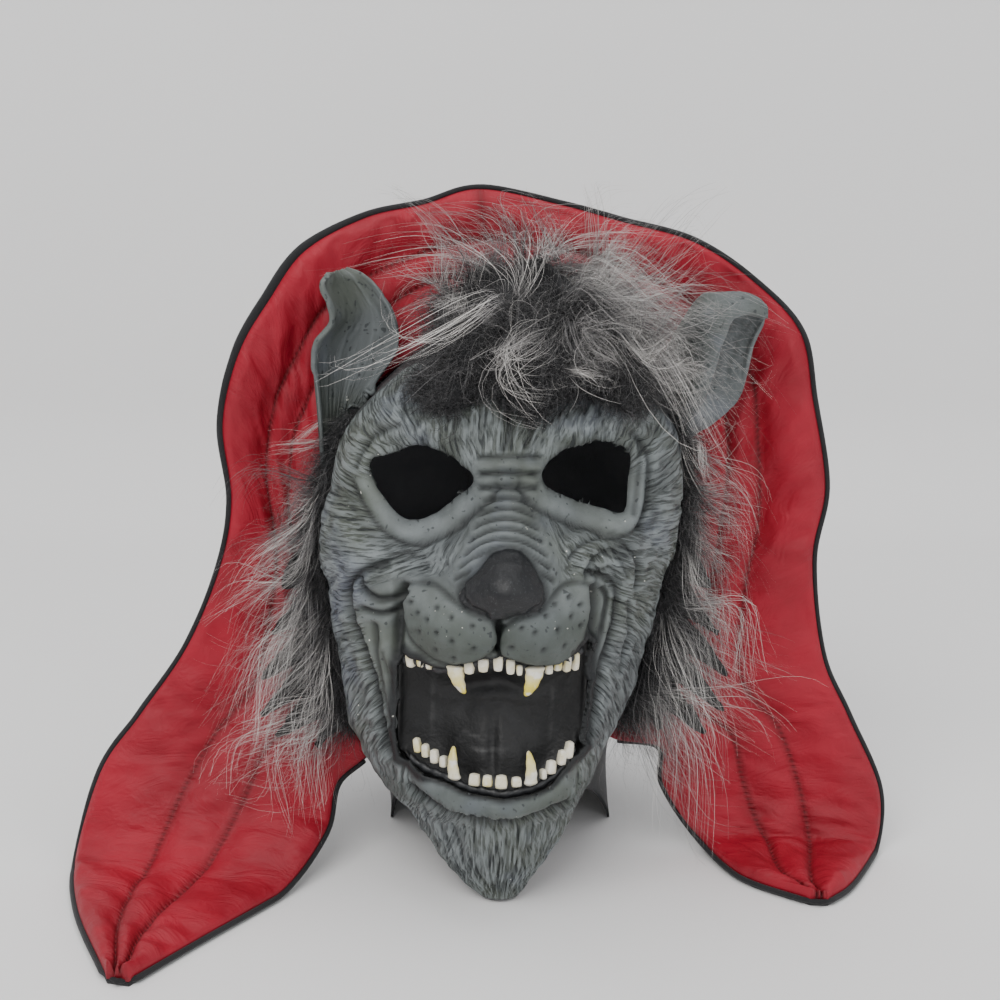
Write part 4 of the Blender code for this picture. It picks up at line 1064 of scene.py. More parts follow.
earShape = {
    "leftHeight": 0.071, "rightHeight": 0.080, "depth": 0.030, "wall": 0.0025, "clear": 0.00145,
    "near": 0.08, "far": 0.15, "columns": 72, "rows": 84, "leftAlong": (0.29, 0.39),
    "rightAlong": (0.675, 0.61), "leftRoot": (-0.081, 0.060, 0.247), "rightRoot": (0.091, 0.054, 0.2305),
}
leftEarRows = np.array([  # up, outer, inner, forward, cup
    (0.00, -0.18, 0.20, 0.00, 0.20), (0.28, -0.19, 0.31, 0.05, 0.50),
    (0.50, -0.16, 0.46, 0.12, 0.60), (0.66, -0.04, 0.39, 0.20, 0.58),
    (0.80, -0.06, 0.30, 0.34, 0.50), (0.90, -0.10, 0.23, 0.48, 0.42),
    (0.96, -0.10, 0.16, 0.55, 0.32), (1.00, -0.06, 0.05, 0.60, 0.20),
])
rightEarRows = np.array([  # out, ridge, front, back, spread
    (0.00, 0.88, 0.14, -0.06, 0.40), (0.12, 0.90, 0.20, -0.02, 0.60),
    (0.18, 0.91, 0.32, 0.00, 0.80), (0.24, 0.91, 0.53, 0.03, 0.86),
    (0.29, 0.91, 0.74, 0.07, 0.84), (0.36, 0.91, 0.81, 0.14, 0.76),
    (0.43, 0.90, 0.82, 0.25, 0.62), (0.48, 0.88, 0.80, 0.52, 0.40),
    (0.55, 0.84, 0.78, 0.74, 0.16),
])


def buildLeftEar(materials):
    column, row = gridShares(earShape["columns"], earShape["rows"])
    look = [smoothCurve(leftEarRows[:, 0], leftEarRows[:, index], row) for index in range(1, 5)]
    outer, inner, forward, cup = look
    first, last = earShape["leftAlong"]
    along = first + (last - first) * column
    back = earShape["near"] + (earShape["far"] - earShape["near"]) * np.sin(math.pi * column)
    seat = backPoint(along, back) + backNormal(along, back) * earShape["clear"]
    depth = (forward + cup * (1 - np.sin(math.pi * column))) * (1 - 0.80 * column)
    free = np.array(earShape["leftRoot"]) + np.stack([
        (outer + (inner - outer) * column) * earShape["leftHeight"],
        -depth * earShape["depth"], row * earShape["leftHeight"]], axis=-1)
    points = seat + (free - seat) * ease(0, 1, row / (0.25 + 0.50 * column))[..., None]
    finishEar("ear_left_latex", "ear_left", points, column, row, materials, 5)


def buildRightEar(materials):
    column, row = gridShares(earShape["columns"], earShape["rows"])
    length = rightEarRows[-1, 0]
    look = [smoothCurve(rightEarRows[:, 0], rightEarRows[:, index], row * length) for index in range(1, 5)]
    ridge, front, back, spread = look
    fold = np.sin(math.pi * column)
    first, last = earShape["rightAlong"]
    seatAlong = first + (last - first) * fold
    seatBack = earShape["near"] + (earShape["far"] - earShape["near"]) * column
    seat = backPoint(seatAlong, seatBack) + backNormal(seatAlong, seatBack) * earShape["clear"]
    low = np.where(column < 0.5, front, back)
    up = low + (ridge - low) * np.maximum(fold, 0) ** 0.7
    depth = spread * np.cos(math.pi * column) * 0.5
    free = np.array(earShape["rightRoot"]) + np.stack([
        row * length * earShape["rightHeight"], -depth * earShape["depth"],
        up * earShape["rightHeight"]], axis=-1)
    points = seat + (free - seat) * ease(0, 1, row / 0.30)[..., None]
    finishEar("ear_right_latex", "ear_right", points, column, row, materials, 6)


# Wrinkles, a rolled rim and paint on an ear
def finishEar(name, node, points, column, row, materials, seed):
    normals = gridNormals(points)
    ribs = unevenness(column * 9 + 10, row * 3 + 10, seed) * 0.7
    small = unevenness(column * 26 + 10, row * 16 + 10, seed + 40) * 0.35
    strokes = unevenness(column * 60 + 10, row * 9 + 10, seed + 80)
    border = np.minimum(np.minimum(column, 1 - column) * 2, (1 - row) * 1.5)
    rim = 0.9 * bell((border - 0.05) / 0.07)
    rooted = 1 - ease(0.05, 0.45, row)
    lift = ribs + small + rim + rooted * strokes * 0.7
    points = points + normals * (lift * 0.001)[..., None]
    mesh = gridMesh(name, points)
    relief = 0.52 + 0.22 * ribs + 0.35 * small + 0.25 * rooted * strokes + 0.20 * rim
    setAttributes(mesh, relief=np.clip(relief, 0, 1))
    # painted shade: darker at the ear's root and in the hollows between its ribs
    setAttributes(mesh, shade=np.clip(0.30 * rooted + 0.12 * (ribs < -0.3), 0, 1))
    setAttributes(mesh, nose=np.zeros(column.shape), muzzle=np.zeros(column.shape))
    setAttributes(mesh, lieCosine=-np.ones(column.shape), lieSine=np.zeros(column.shape))
    setAttributes(mesh, furred=rooted * 0.55)
    setMap(mesh, column * 0.05, row * 0.07)
    ear = addPiece(name, mesh, materials["latex"], (node,))
    thicken(ear, earShape["wall"], -1)
    print(name, "built")


linerShape = {
    "wall": 0.0015, "depth": 0.026, "clear": 0.0036, "margin": 0.022, "columns": 84, "rows": 72,
    "tongueRise": 0.45, "tongue": (0.50, 0.30, 0.22),
}


def buildMouthLiner(materials):
    column, row = gridShares(linerShape["columns"], linerShape["rows"])
    first = mouthEdge[0, 0] - linerShape["margin"]
    last = mouthEdge[-1, 0] + linerShape["margin"]
    across = first + (last - first) * column
    low = mouthBottom(across) - linerShape["margin"]
    high = mouthTop(across) + linerShape["margin"]
    height = low + (high - low) * row
    side = sideAt(across, height)
    away = faceShape["wall"] + linerShape["clear"]
    inside = facePoint(side, height) - faceNormal(side, height) * away
    bowl = np.sqrt(np.maximum(np.sin(math.pi * column) * np.sin(math.pi * row), 0))
    tongueX, tongueUp, spread = linerShape["tongue"]
    tongue = bell((column - tongueX) / spread) * bell((row - tongueUp) / spread)
    cleft = 0.14 * bell((column - tongueX) / 0.03) * bell((row - tongueUp) / 0.16)
    ridges = 0.05 * np.sin(row * 40) * bell((column - tongueX) / 0.2) * (row > 0.55)
    folds = 0.04 * unevenness(column * 9 + 5, row * 7 + 5, 3)
    sink = bowl - linerShape["tongueRise"] * tongue + cleft + (ridges + folds) * bowl
    points = inside + backward * (linerShape["depth"] * sink)[..., None]
    mesh = gridMesh("mouth_pocket", points)
    # painted highlight: grey streaks along the tongue's arcs and the pocket's sides, stored in the ridge
    # attribute
    arc = row - 0.30 - 0.35 * (column - 0.46) ** 2 * 4
    paintedHighlights = bell((arc + 0.02) / 0.010) * bell((column - 0.44) / 0.10)
    paintedHighlights = np.maximum(paintedHighlights, 0.7 * bell((arc - 0.055) / 0.008) * bell((column - 0.42) / 0.08))
    paintedHighlights = np.maximum(paintedHighlights, 0.5 * bell((np.abs(column - 0.5) - 0.33) / 0.010) * bell((row - 0.5) / 0.22))
    setAttributes(mesh, ridge=paintedHighlights)
    liner = addPiece("mouth_pocket", mesh, materials["mouth"], ("mouth_liner",))
    thicken(liner, linerShape["wall"], -1)
    print("mouth pocket built")
    return liner


# Teeth: across and height of the middle as shares of the face, width and length in
# millimetres, lean in degrees, and how yellow
upperTeeth = [
    (-0.269, 0.462, 4.6, 7.8, 4, 0.2), (-0.238, 0.464, 4.4, 7.0, 2, 0.9), (-0.214, 0.458, 3.4, 4.6, 0, 0.5),
    (-0.104, 0.462, 4.8, 6.2, 0, 0.1), (-0.066, 0.468, 5.2, 6.8, 0, 0.1), (-0.026, 0.472, 4.8, 7.8, 0, 0.1),
    (0.008, 0.466, 4.4, 7.4, 0, 0.1), (0.032, 0.460, 3.0, 5.0, 0, 0.2), (0.112, 0.458, 3.8, 4.6, 0, 0.1),
    (0.136, 0.464, 4.0, 5.6, 0, 0.8), (0.162, 0.464, 3.8, 7.6, -2, 0.4), (0.186, 0.466, 3.2, 8.6, -4, 0.2),
]
lowerTeeth = [
    (-0.246, 0.304, 3.6, 7.2, 8, 0.4), (-0.222, 0.296, 3.6, 6.6, 6, 0.1), (-0.196, 0.288, 4.2, 6.8, 4, 0.0),
    (-0.170, 0.281, 3.6, 5.6, 2, 0.0), (-0.082, 0.256, 5.6, 6.0, 0, 0.1), (-0.046, 0.256, 4.8, 5.6, 0, 0.4),
    (-0.008, 0.255, 6.0, 6.6, 0, 0.2), (0.034, 0.254, 5.0, 4.8, 0, 0.1), (0.108, 0.262, 2.8, 5.0, 0, 0.0),
    (0.130, 0.272, 5.0, 6.8, -4, 0.0), (0.160, 0.286, 4.2, 7.4, -8, 0.1), (0.180, 0.298, 4.4, 8.4, -10, 0.1),
]
fangs = {  # across, root height, tip across, length in mm, radius in mm, yellow
    "fang_upper_left": (-0.141, 0.462, -0.114, 14.5, 5.0, 0.55),
    "fang_upper_right": (0.074, 0.464, 0.050, 15.5, 5.2, 0.75),
    "fang_lower_left": (-0.136, 0.254, -0.141, 17.5, 3.5, 0.45),
    "fang_lower_right": (0.072, 0.248, 0.067, 18.0, 3.6, 0.45),
}
betweenRows = 0.37  # height, as a share of the face, between the upper and the lower teeth
gumShape = {"inset": 0.0022, "height": 0.0042, "deep": 0.0034, "columns": 120, "sides": 14}


# A place on the row of teeth: evened out along the lip, so that the row curves smoothly
def toothSpot(across, height, inset):
    near = [across + 0.035 * step for step in (-1, -0.5, 0, 0.5, 1)]
    line = mouthTop if height > betweenRows else mouthBottom
    out = np.mean([faceForm(sideAt(spot, line(spot)), line(spot))[2] for spot in near])
    return faceToWorld(across * faceShape["width"], height * faceShape["height"], out - inset)


def toothAxes(across, height):
    right = unit(toothSpot(across + 0.02, height, 0.0) - toothSpot(across - 0.02, height, 0.0))
    lean = math.radians(faceShape["lean"])
    up = np.array((0.0, math.sin(lean), math.cos(lean)))
    outward = unit(np.cross(right, up))
    return right, outward, unit(np.cross(outward, right))


# One tooth's corners and faces: a cube rounded by cutting it up and smoothing it
def toothBlank():
    bm = bmesh.new()
    bmesh.ops.create_cube(bm, size=1.0)
    bmesh.ops.subdivide_edges(bm, edges=bm.edges, cuts=4, use_grid_fill=True)
    for vert in bm.verts:
        ball = vert.co.normalized() * 0.62
        vert.co = vert.co.lerp(ball, 0.48)
    corners = np.array([vert.co[:] for vert in bm.verts])
    faces = [[vert.index for vert in face.verts] for face in bm.faces]
    bm.free()
    return corners, faces


def buildTeethRow(name, node, teeth, line, way, material):
    corners, faces = toothBlank()
    allCorners = []
    allFaces = []
    stains = []
    gums = []
    jitter = np.random.default_rng(17)
    for across, height, width, length, lean, yellow in teeth:
        right, outward, up = toothAxes(across, height)
        middle = toothSpot(across, height, gumShape["inset"])
        turned = math.radians(lean + jitter.uniform(-3, 3))
        shape = corners * np.array((width, 3.6, length)) * 0.001
        taper = 1 - 0.16 * (corners[:, 2:3] * -way + 0.5)
        shape[:, :1] *= taper
        x = shape[:, 0] * math.cos(turned) - shape[:, 2] * math.sin(turned)
        z = shape[:, 0] * math.sin(turned) + shape[:, 2] * math.cos(turned)
        placed = middle + x[:, None] * right + shape[:, 1:2] * -outward + z[:, None] * up
        start = sum(len(part) for part in allCorners)
        allCorners.append(placed)
        allFaces += [[index + start for index in face] for face in faces]
        stains.append(yellow * np.clip(0.6 + 0.8 * corners[:, 2] * way, 0, 1))
        gums.append(np.zeros(len(corners)))
    start = sum(len(part) for part in allCorners)
    rings = []
    for step in np.linspace(teeth[0][0] - 0.018, teeth[-1][0] + 0.016, gumShape["columns"] + 1):
        right, outward, up = toothAxes(step, float(line(step)))
        middle = toothSpot(step, float(line(step)), gumShape["inset"] + 0.0012) - up * way * 0.0015
        turns = np.linspace(0, 2 * math.pi, gumShape["sides"], endpoint=False)
        wave = 1 + 0.16 * math.sin(step * 190)
        rings.append(middle + np.cos(turns)[:, None] * outward * gumShape["deep"] / 2 * wave
                     + np.sin(turns)[:, None] * up * gumShape["height"] / 2 * wave)
    sides = gumShape["sides"]
    for ring in range(len(rings) - 1):
        for index in range(sides):
            after = (index + 1) % sides
            here = start + ring * sides
            allFaces.append([here + index, here + after, here + sides + after, here + sides + index])
    allFaces.append([start + index for index in range(sides)][::-1])
    allFaces.append([start + (len(rings) - 1) * sides + index for index in range(sides)])
    allCorners.append(np.concatenate(rings))
    stains.append(np.zeros(len(rings) * sides))
    gums.append(np.ones(len(rings) * sides))
    mesh = bpy.data.meshes.new(name)
    mesh.from_pydata((np.concatenate(allCorners) + standShift).tolist(), [], allFaces)
    setAttributes(mesh, stain=np.concatenate(stains), gum=np.concatenate(gums))
    closeAndTurnOut(mesh, 1e-7)
    addPiece(name, mesh, material, (node,))


# A fang: a ball drawn out to a bent point
def buildFang(name, row, material):
    across, height, tip, length, radius, yellow = row
    way = 1 if height > betweenRows else -1
    bm = bmesh.new()
    bmesh.ops.create_uvsphere(bm, u_segments=28, v_segments=30, radius=1.0)
    right, outward, up = toothAxes(across, height)
    root = toothSpot(across, height, gumShape["inset"]) + up * way * 0.0012
    aside = (tip - across) * faceShape["width"]
    share = []
    for vert in bm.verts:
        t = (vert.co.z + 1) / 2
        ring = math.hypot(vert.co.x, vert.co.y) or 1.0
        thick = min(1.0, math.sqrt(t / 0.10)) * (1 - 0.50 * t) * math.sqrt(max(1 - t ** 7, 0))
        thick *= radius * 0.001
        x = vert.co.x / ring * thick if ring > 0.001 else 0.0
        y = vert.co.y / ring * thick * 0.8 if ring > 0.001 else 0.0
        ripple = 1 + 0.05 * math.sin(t * 21) + 0.04 * math.sin(3 * math.atan2(vert.co.y, vert.co.x))
        place = (root + right * (x * ripple + aside * t ** 1.4)
                 + outward * (y * ripple + 0.10 * length * 0.001 * math.sin(math.pi * t))
                 - up * way * length * 0.001 * t)
        vert.co = Vector(place + standShift)
        share.append(t)
    bmesh.ops.recalc_face_normals(bm, faces=bm.faces)
    mesh = bpy.data.meshes.new(name + "_enamel")
    bm.to_mesh(mesh)
    bm.free()
    setAttributes(mesh, stain=np.array(share) * yellow * 1.3)
    setAttributes(mesh, gum=0.35 * (1 - ease(0.0, 0.14, np.array(share))))
    addPiece(name + "_enamel", mesh, material, (name,))


def buildMouth(materials):
    liner = buildMouthLiner(materials)
    buildTeethRow("upper_teeth_row", "upper_teeth", upperTeeth, mouthTop, 1, materials["tooth"])
    buildTeethRow("lower_teeth_row", "lower_teeth", lowerTeeth, mouthBottom, -1, materials["tooth"])
    for name, row in fangs.items():
        buildFang(name, row, materials["tooth"])
    print("teeth built")
    return liner


hoodFolds = {
    "pucker": 0.0019, "puckerLength": 0.0085, "puckerReach": 0.016, "long": 0.0030,
    "longLength": 0.034, "small": 0.0011, "seamWidth": 0.0022,
}


# Height of the lining over its backing, and how near it is to a seam
def liningRelief(along, over, length, width):
    pad = np.zeros(over.shape)
    for low, high in zip(quiltSeams, quiltSeams[1:]):
        share = np.clip((over - low) / (high - low), 0, 1)
        pad += np.where((over >= low) & (over <= high), np.sqrt(np.maximum(np.sin(math.pi * share), 0)), 0)
    thick = hoodShape["padThin"] + (hoodShape["padThick"] - hoodShape["padThin"]) * pad
    seam = np.zeros(over.shape)
    stitch = np.zeros(over.shape)
    lift = np.zeros(over.shape)
    for index, middle in enumerate(quiltSeams):
        away = np.abs(over - middle) * width
        near = bell(away / hoodFolds["puckerReach"])
        ripple = unevenness(length / hoodFolds["puckerLength"] + 7 * index, away / 0.020, 50 + index)
        lift += hoodFolds["pucker"] * ripple * near * ease(0.0, 0.004, away)
        if 0 < middle < 1:
            seam = np.maximum(seam, bell(away / hoodFolds["seamWidth"]))
            stitch = np.maximum(stitch, bell(away / 0.0007))
    top = np.abs(along - 0.5) * (len(hoodStations) - 1) * 0.031
    seam = np.maximum(seam, bell(top / hoodFolds["seamWidth"]))
    lift -= 0.0016 * bell(top / 0.004)
    tails = 1 - ease(0.07, 0.16, along) + ease(0.86, 0.93, along)
    radial = unevenness(length / hoodFolds["longLength"], over * 2.2 + 3, 61)
    slanted = unevenness(length / 0.022 + over * 3.0, over * 1.6 + 9, 62)
    lift += hoodFolds["long"] * (radial * 0.8 + slanted * 0.45) * (1 - 0.55 * tails)
    lift += hoodFolds["small"] * unevenness(length / 0.006 + 5, over * width / 0.011, 63)
    edge = ease(0.0, 0.03, over) * ease(0.0, 0.03, 1 - over)
    return thick + lift * edge, seam, stitch


def hoodMeasure(points):
    length = np.cumsum(np.linalg.norm(np.diff(points, axis=1, prepend=points[:, :1]), axis=-1), axis=1)
    width = np.linalg.norm(points[-1] - points[0], axis=-1)[None, :]
    return length, np.broadcast_to(width, length.shape)


def buildHood(materials):
    along, over = gridShares(hoodShape["columns"], hoodShape["rows"])
    points = hoodPoint(along, over)
    length, width = hoodMeasure(points)
    middleLength = np.broadcast_to(length[hoodShape["rows"] // 2][None, :], length.shape)
    thick, seam, stitch = liningRelief(along, over, middleLength, width)
    mesh = gridMesh("lining_satin", points)
    setMap(mesh, middleLength, over * width)
    setAttributes(mesh, seam=seam, stitch=stitch)
    full = hoodShape["fullest"]
    lining = addPiece("lining_satin", mesh, materials["satin"], ("hood_lining",))
    thicken(lining, full, 1, np.clip(thick / full, 0.05, 1.0))

    along, over = gridShares(hoodShape["shellColumns"], hoodShape["shellRows"])
    points = hoodPoint(along, over)
    normals = gridNormals(points)
    length, width = hoodMeasure(points)
    mesh = gridMesh("hood_outer_cloth", points - normals * hoodShape["gap"])
    creases = unevenness(length / 0.028, over * 3 + 2, 71) * 0.5
    creases += unevenness(length / 0.011, over * 6, 72) * 0.25
    grounded = points[..., 2] < 0.02
    mean = hoodShape["shellMean"]
    thickness = np.where(grounded, mean, np.clip(mean + (1 - mean) * creases, 0.25, 1.0))
    shell = addPiece("hood_outer_cloth", mesh, materials["black cloth"], ("hood_shell",))
    thicken(shell, hoodShape["shellWall"] / mean, -1, thickness)
    print("hood built")
    return lining, shell


pipingShape = {"radius": 0.0018, "tailShare": 8 / 48, "corner": 1.4, "over": 0.45, "thin": 0.80}


def buildPiping(materials):
    clear = pipingShape["radius"] * pipingShape["over"]
    middle = pipingShape["radius"] * 1.15 + hoodShape["gap"]

    def edgePoints(along, over, inward):
        step = 0.004
        here = hoodPoint(along, over)
        tangent = unit(hoodPoint(np.minimum(along + step, 1), over)
                       - hoodPoint(np.maximum(along - step, 0), over))
        away = here - hoodPoint(along, inward)
        away = unit(away - tangent * np.sum(away * tangent, axis=-1, keepdims=True))
        return here + away * clear

    def tip(along, way):
        here = hoodPoint(along, 0.5)
        return here + unit(here - hoodPoint(along + way * 0.01, 0.5)) * clear * pipingShape["corner"]

    tail = pipingShape["tailShare"]
    points = np.concatenate([
        edgePoints(np.linspace(tail, 0.004, 40), 0.0, 0.15), [tip(0.0, 1)],
        edgePoints(np.linspace(0.004, 0.996, 300), 1.0, 0.85), [tip(1.0, -1)],
        edgePoints(np.linspace(0.996, 1 - tail, 40), 0.0, 0.15)])
    points[:, 2] = np.maximum(points[:, 2], middle)
    outer = (np.arange(len(points)) - 41) / 300
    full = pipingShape["thin"] + 0.75 * bell((outer - 0.36) / 0.06) + 0.25 * bell((outer - 0.08) / 0.07)
    curve = bpy.data.curves.new("piping_path", "CURVE")
    curve.dimensions = "3D"
    curve.bevel_depth = pipingShape["radius"]
    curve.bevel_resolution = 3
    curve.use_fill_caps = True
    spline = curve.splines.new("POLY")
    spline.points.add(len(points) - 1)
    uneven = unevenness(np.arange(len(points)) / 3.0, 0.5, 81)
    for spot, point, share in zip(spline.points, points + standShift, full + 0.05 * uneven):
        spot.co = (*point, 1.0)
        spot.radius = share
    drawn = bpy.data.objects.new("piping_path", curve)
    bpy.context.scene.collection.objects.link(drawn)
    bpy.context.view_layer.update()
    mesh = bpy.data.meshes.new_from_object(drawn.evaluated_get(bpy.context.evaluated_depsgraph_get()))
    bpy.data.objects.remove(drawn, do_unlink=True)
    closeAndTurnOut(mesh, 0.00001)
    mesh.materials.clear()
    print("piping built")
    return addPiece("edge_binding", mesh, materials["binding"], ("hood_piping",))


def buildHeadBack(materials):
    along, row = gridShares(backShape["columns"], backShape["rows"])
    back = row ** backShape["crowding"]
    points = backPoint(along, back)
    normals = gridNormals(points)
    folds = 0.9 * unevenness(along * 16 + 4, row * 2.5 + 4, 91)
    folds += 0.5 * unevenness(along * 30 + 4, row * 8 + 4, 92)
    seam = -1.6 * bell((along - 0.46) / 0.004) + 0.8 * bell((np.abs(along - 0.46) - 0.012) / 0.007)
    lift = (folds * ease(0.02, 0.15, back) + seam) * ease(0.0, 0.08, 1 - back) * ease(0.0, 0.03, row)
    lift = np.minimum(lift, 0.8)
    points = points + normals * (lift * 0.001)[..., None]
    mesh = gridMesh("head_cloth", points)
    # painted light: the cloth's inside is grey above about 0.13 to 0.17 m and black lower down
    setAttributes(mesh, lit=ease(0.13, 0.17, points[..., 2]))
    cloth = addPiece("head_cloth", mesh, materials["black cloth"], ("head_back",))
    mesh.materials.append(materials["painted-lit cloth inside"])
    wall = thicken(cloth, backShape["wall"], -1)
    wall.material_offset = 1
    wall.material_offset_rim = 0
    print("head cloth built")
    return cloth


hairTop = {"bends": 0.343, "room": 0.027}  # strands that reach the rim droop over


# Strands in locks, each a narrow tapering band: roots, normals and ways hold one row a lock
def growHair(name, roots, normals, ways, lengths, tones, hair, seed, material):
    random = np.random.default_rng(seed)
    locks = len(roots)
    each = hair["each"]
    steps = hair["steps"]
    count = locks * each
    lock = np.repeat(np.arange(locks), each)
    t = np.linspace(0, 1, steps + 1)[None, :, None]
    loose = unit(random.normal(size=(locks, 3)))
    sideways = unit(np.cross(ways, loose))
    upright = np.cross(ways, sideways)
    scatter = random.normal(size=(count, 3)) * hair["spread"]
    scatter -= normals[lock] * np.sum(scatter * normals[lock], axis=-1, keepdims=True)
    way = unit(ways[lock] + random.normal(size=(count, 3)) * hair["fray"])
    length = (lengths[lock] * random.uniform(0.6, 1.08, count))[:, None, None]
    phase = random.uniform(0, 2 * math.pi, (locks, 2))[lock] + random.normal(size=(count, 2)) * 0.5
    swing = (random.uniform(0.4, 1.0, locks)[lock] * hair["curl"])[:, None, None]
    turns = (random.uniform(0.5, 1.25, locks)[lock] * hair["waves"])[:, None, None]
    waveA = np.sin(2 * math.pi * turns * t + phase[:, 0, None, None]) - np.sin(phase[:, 0, None, None])
    waveB = np.sin(2 * math.pi * turns * t * 0.8 + phase[:, 1, None, None]) - np.sin(phase[:, 1, None, None])
    path = roots[lock][:, None, :] + scatter[:, None, :] * (1 - hair["gather"] * t)
    path = path + way[:, None, :] * length * t
    path = path + np.array(hair["fall"])[None, None, :] * length * t * t
    waved = sideways[lock][:, None, :] * waveA + upright[lock][:, None, :] * waveB
    path = path + waved * swing * length * t
    path[..., 2] = np.maximum(path[..., 2], 0.0012 + 0.0008 * random.random((count, 1)))
    high = np.maximum(path[..., 2] - hairTop["bends"], 0)
    path[..., 2] -= high - hairTop["room"] * (1 - np.exp(-high / hairTop["room"]))
    tangent = unit(np.gradient(path, axis=1))
    flat = unit(np.cross(tangent, unit(random.normal(size=(count, 1, 3)))))
    widths = hair["width"] * random.uniform(0.6, 1.2, (count, 1, 1)) * (1 - 0.82 * t ** 1.5)
    corners = np.stack([path - flat * widths / 2, path + flat * widths / 2], axis=2)
    base = (np.arange(count) * (steps + 1) * 2)[:, None] + np.arange(steps)[None, :] * 2
    faces = np.stack([base, base + 1, base + 3, base + 2], axis=-1).reshape(-1, 4)
    mesh = bpy.data.meshes.new(name)
    mesh.from_pydata((corners.reshape(-1, 3) + standShift).tolist(), [], faces.tolist())
    rootTone, tipTone = tones
    shift = random.normal(size=(count, 1)) * 0.07
    tone = rootTone[lock][:, None] + (tipTone - rootTone)[lock][:, None] * ease(0.05, 0.6, t[..., 0]) + shift
    setAttributes(mesh, tone=np.clip(np.repeat(tone[:, :, None], 2, axis=2), 0, 1))
    return addPiece(name, mesh, material)


furShape = {
    "root": 0.006, "length": 0.034, "crestHeight": 0.048, "seat": 0.09, "locks": 6, "droop": 0.60,
    "forward": 0.45, "clear": 0.0009, "crestSpan": (-0.50, 0.95), "crestSeat": (0.44, 0.57),
    "crestClear": 0.0030, "crestFront": 0.905, "crestFringe": 0.018, "crestLocks": 3.5,
}
furSides = {  # along, reach
    "fur_left": np.array([
        (0.08, 0.50), (0.11, 1.00), (0.15, 1.20), (0.19, 1.00), (0.23, 0.65), (0.27, 0.30)]),
    "fur_right": np.array([
        (0.73, 0.30), (0.77, 0.70), (0.81, 1.10), (0.85, 1.20), (0.88, 0.95), (0.90, 0.50)]),
}


def sideFurPoint(rows, column, row):
    along = rows[0, 0] + (rows[-1, 0] - rows[0, 0]) * column
    reach = smoothCurve(rows[:, 0], rows[:, 1], along)
    normal = backNormal(along, furShape["seat"])
    away = unit(normal * np.array((1.0, 0.0, 1.0)))
    lock = 0.72 + 0.28 * np.cos(2 * math.pi * furShape["locks"] * column)
    length = furShape["length"] * reach * lock * row
    base = backPoint(along, furShape["seat"]) + normal * furShape["clear"]
    fall = np.stack([np.zeros_like(length), -furShape["forward"] * length,
                     -furShape["droop"] * length * row], axis=-1)
    return base + away * length[..., None] + fall


def buildSideFur(name, materials):
    rows = furSides[name]
    column, row = gridShares(150, 16)
    points = sideFurPoint(rows, column, row)
    normals = gridNormals(points)
    shag = unevenness(column * 90, row * 5, 101) * 0.8 + unevenness(column * 35, row * 3, 102) * 0.8
    points = points + normals * (shag * 0.001)[..., None] * ease(0.0, 0.2, row)[..., None]
    mesh = gridMesh(name + "_backing", points)
    setAttributes(mesh, tone=np.clip(0.06 + 0.10 * shag, 0, 0.3))
    piece = addPiece(name + "_backing", mesh, materials["fur"], (name,))
    thicken(piece, furShape["root"], -1, 1 - 0.8 * row, 0.1)


def crestPoint(column, row):
    start, end = furShape["crestSpan"]
    seatStart, seatEnd = furShape["crestSeat"]
    side = start + (end - start) * column
    lowest = furShape["crestFront"]
    lowest = lowest + furShape["crestFringe"] * np.cos(2 * math.pi * furShape["crestLocks"] * column)
    height = lowest + (0.995 - lowest) * np.minimum(row / 0.5, 1)
    front = facePoint(side, height) + faceNormal(side, height) * furShape["crestClear"]
    along = seatStart + (seatEnd - seatStart) * column
    share = np.clip((row - 0.5) / 0.5, 0, 1)
    back = 0.02 + (furShape["seat"] * 2 - 0.02) * share
    clear = furShape["crestClear"] + (furShape["clear"] - furShape["crestClear"]) * share
    behind = backPoint(along, back) + backNormal(along, back) * clear[..., None]
    return np.where((row <= 0.5)[..., None], front, behind)


def crestThickness(column, row):
    mound = np.maximum(np.sin(math.pi * column), 0) ** 0.6
    mound = mound * np.maximum(np.sin(math.pi * np.minimum(row * 1.1, 1)), 0) ** 0.6
    return mound * (0.86 + 0.14 * np.cos(2 * math.pi * (4 * column + 1.5 * row)))


def buildCrest(materials):
    column, row = gridShares(120, 110)
    points = crestPoint(column, row)
    thick = crestThickness(column, row)
    shag = unevenness(column * 60, row * 22, 111) * 0.030 + unevenness(column * 24, row * 12, 112) * 0.045
    mesh = gridMesh("crest_backing", points)
    setAttributes(mesh, tone=np.clip(0.08 + 1.2 * shag, 0, 0.3))
    piece = addPiece("crest_backing", mesh, materials["fur"], ("fur_crest",))
    weight = np.clip(thick * 0.86 + shag * ease(0.1, 0.4, thick), 0, 1)
    thicken(piece, furShape["crestHeight"], 1, weight, 0.06)


# Places and outward directions on the crest's mound
def crestSurface(column, row):
    normal = outwardAt(crestPoint, column, row, 0.01)
    height = furShape["crestHeight"] * np.maximum(crestThickness(column, row) * 0.82, 0.04)
    return crestPoint(column, row) + normal * height[..., None], normal


crestHair = {
    "under": {"locks": 1150, "each": 14, "steps": 6, "spread": 0.0030, "fray": 0.45, "gather": 0.3,
              "curl": 0.42, "waves": 1.2, "fall": (0.0, 0.0, -0.10), "width": 0.00034,
              "length": (0.011, 0.027)},
    "over": {"locks": 118, "each": 34, "steps": 13, "spread": 0.0016, "fray": 0.07, "gather": 0.75,
             "curl": 0.46, "waves": 0.85, "fall": (0.06, -0.10, -0.22), "width": 0.00024,
             "length": (0.040, 0.088)},
    "fuzz": {"locks": 420, "each": 15, "steps": 9, "spread": 0.0035, "fray": 0.55, "gather": 0.2,
             "curl": 0.34, "waves": 1.0, "fall": (0.0, -0.03, -0.08), "width": 0.00015,
             "length": (0.022, 0.052)},
}


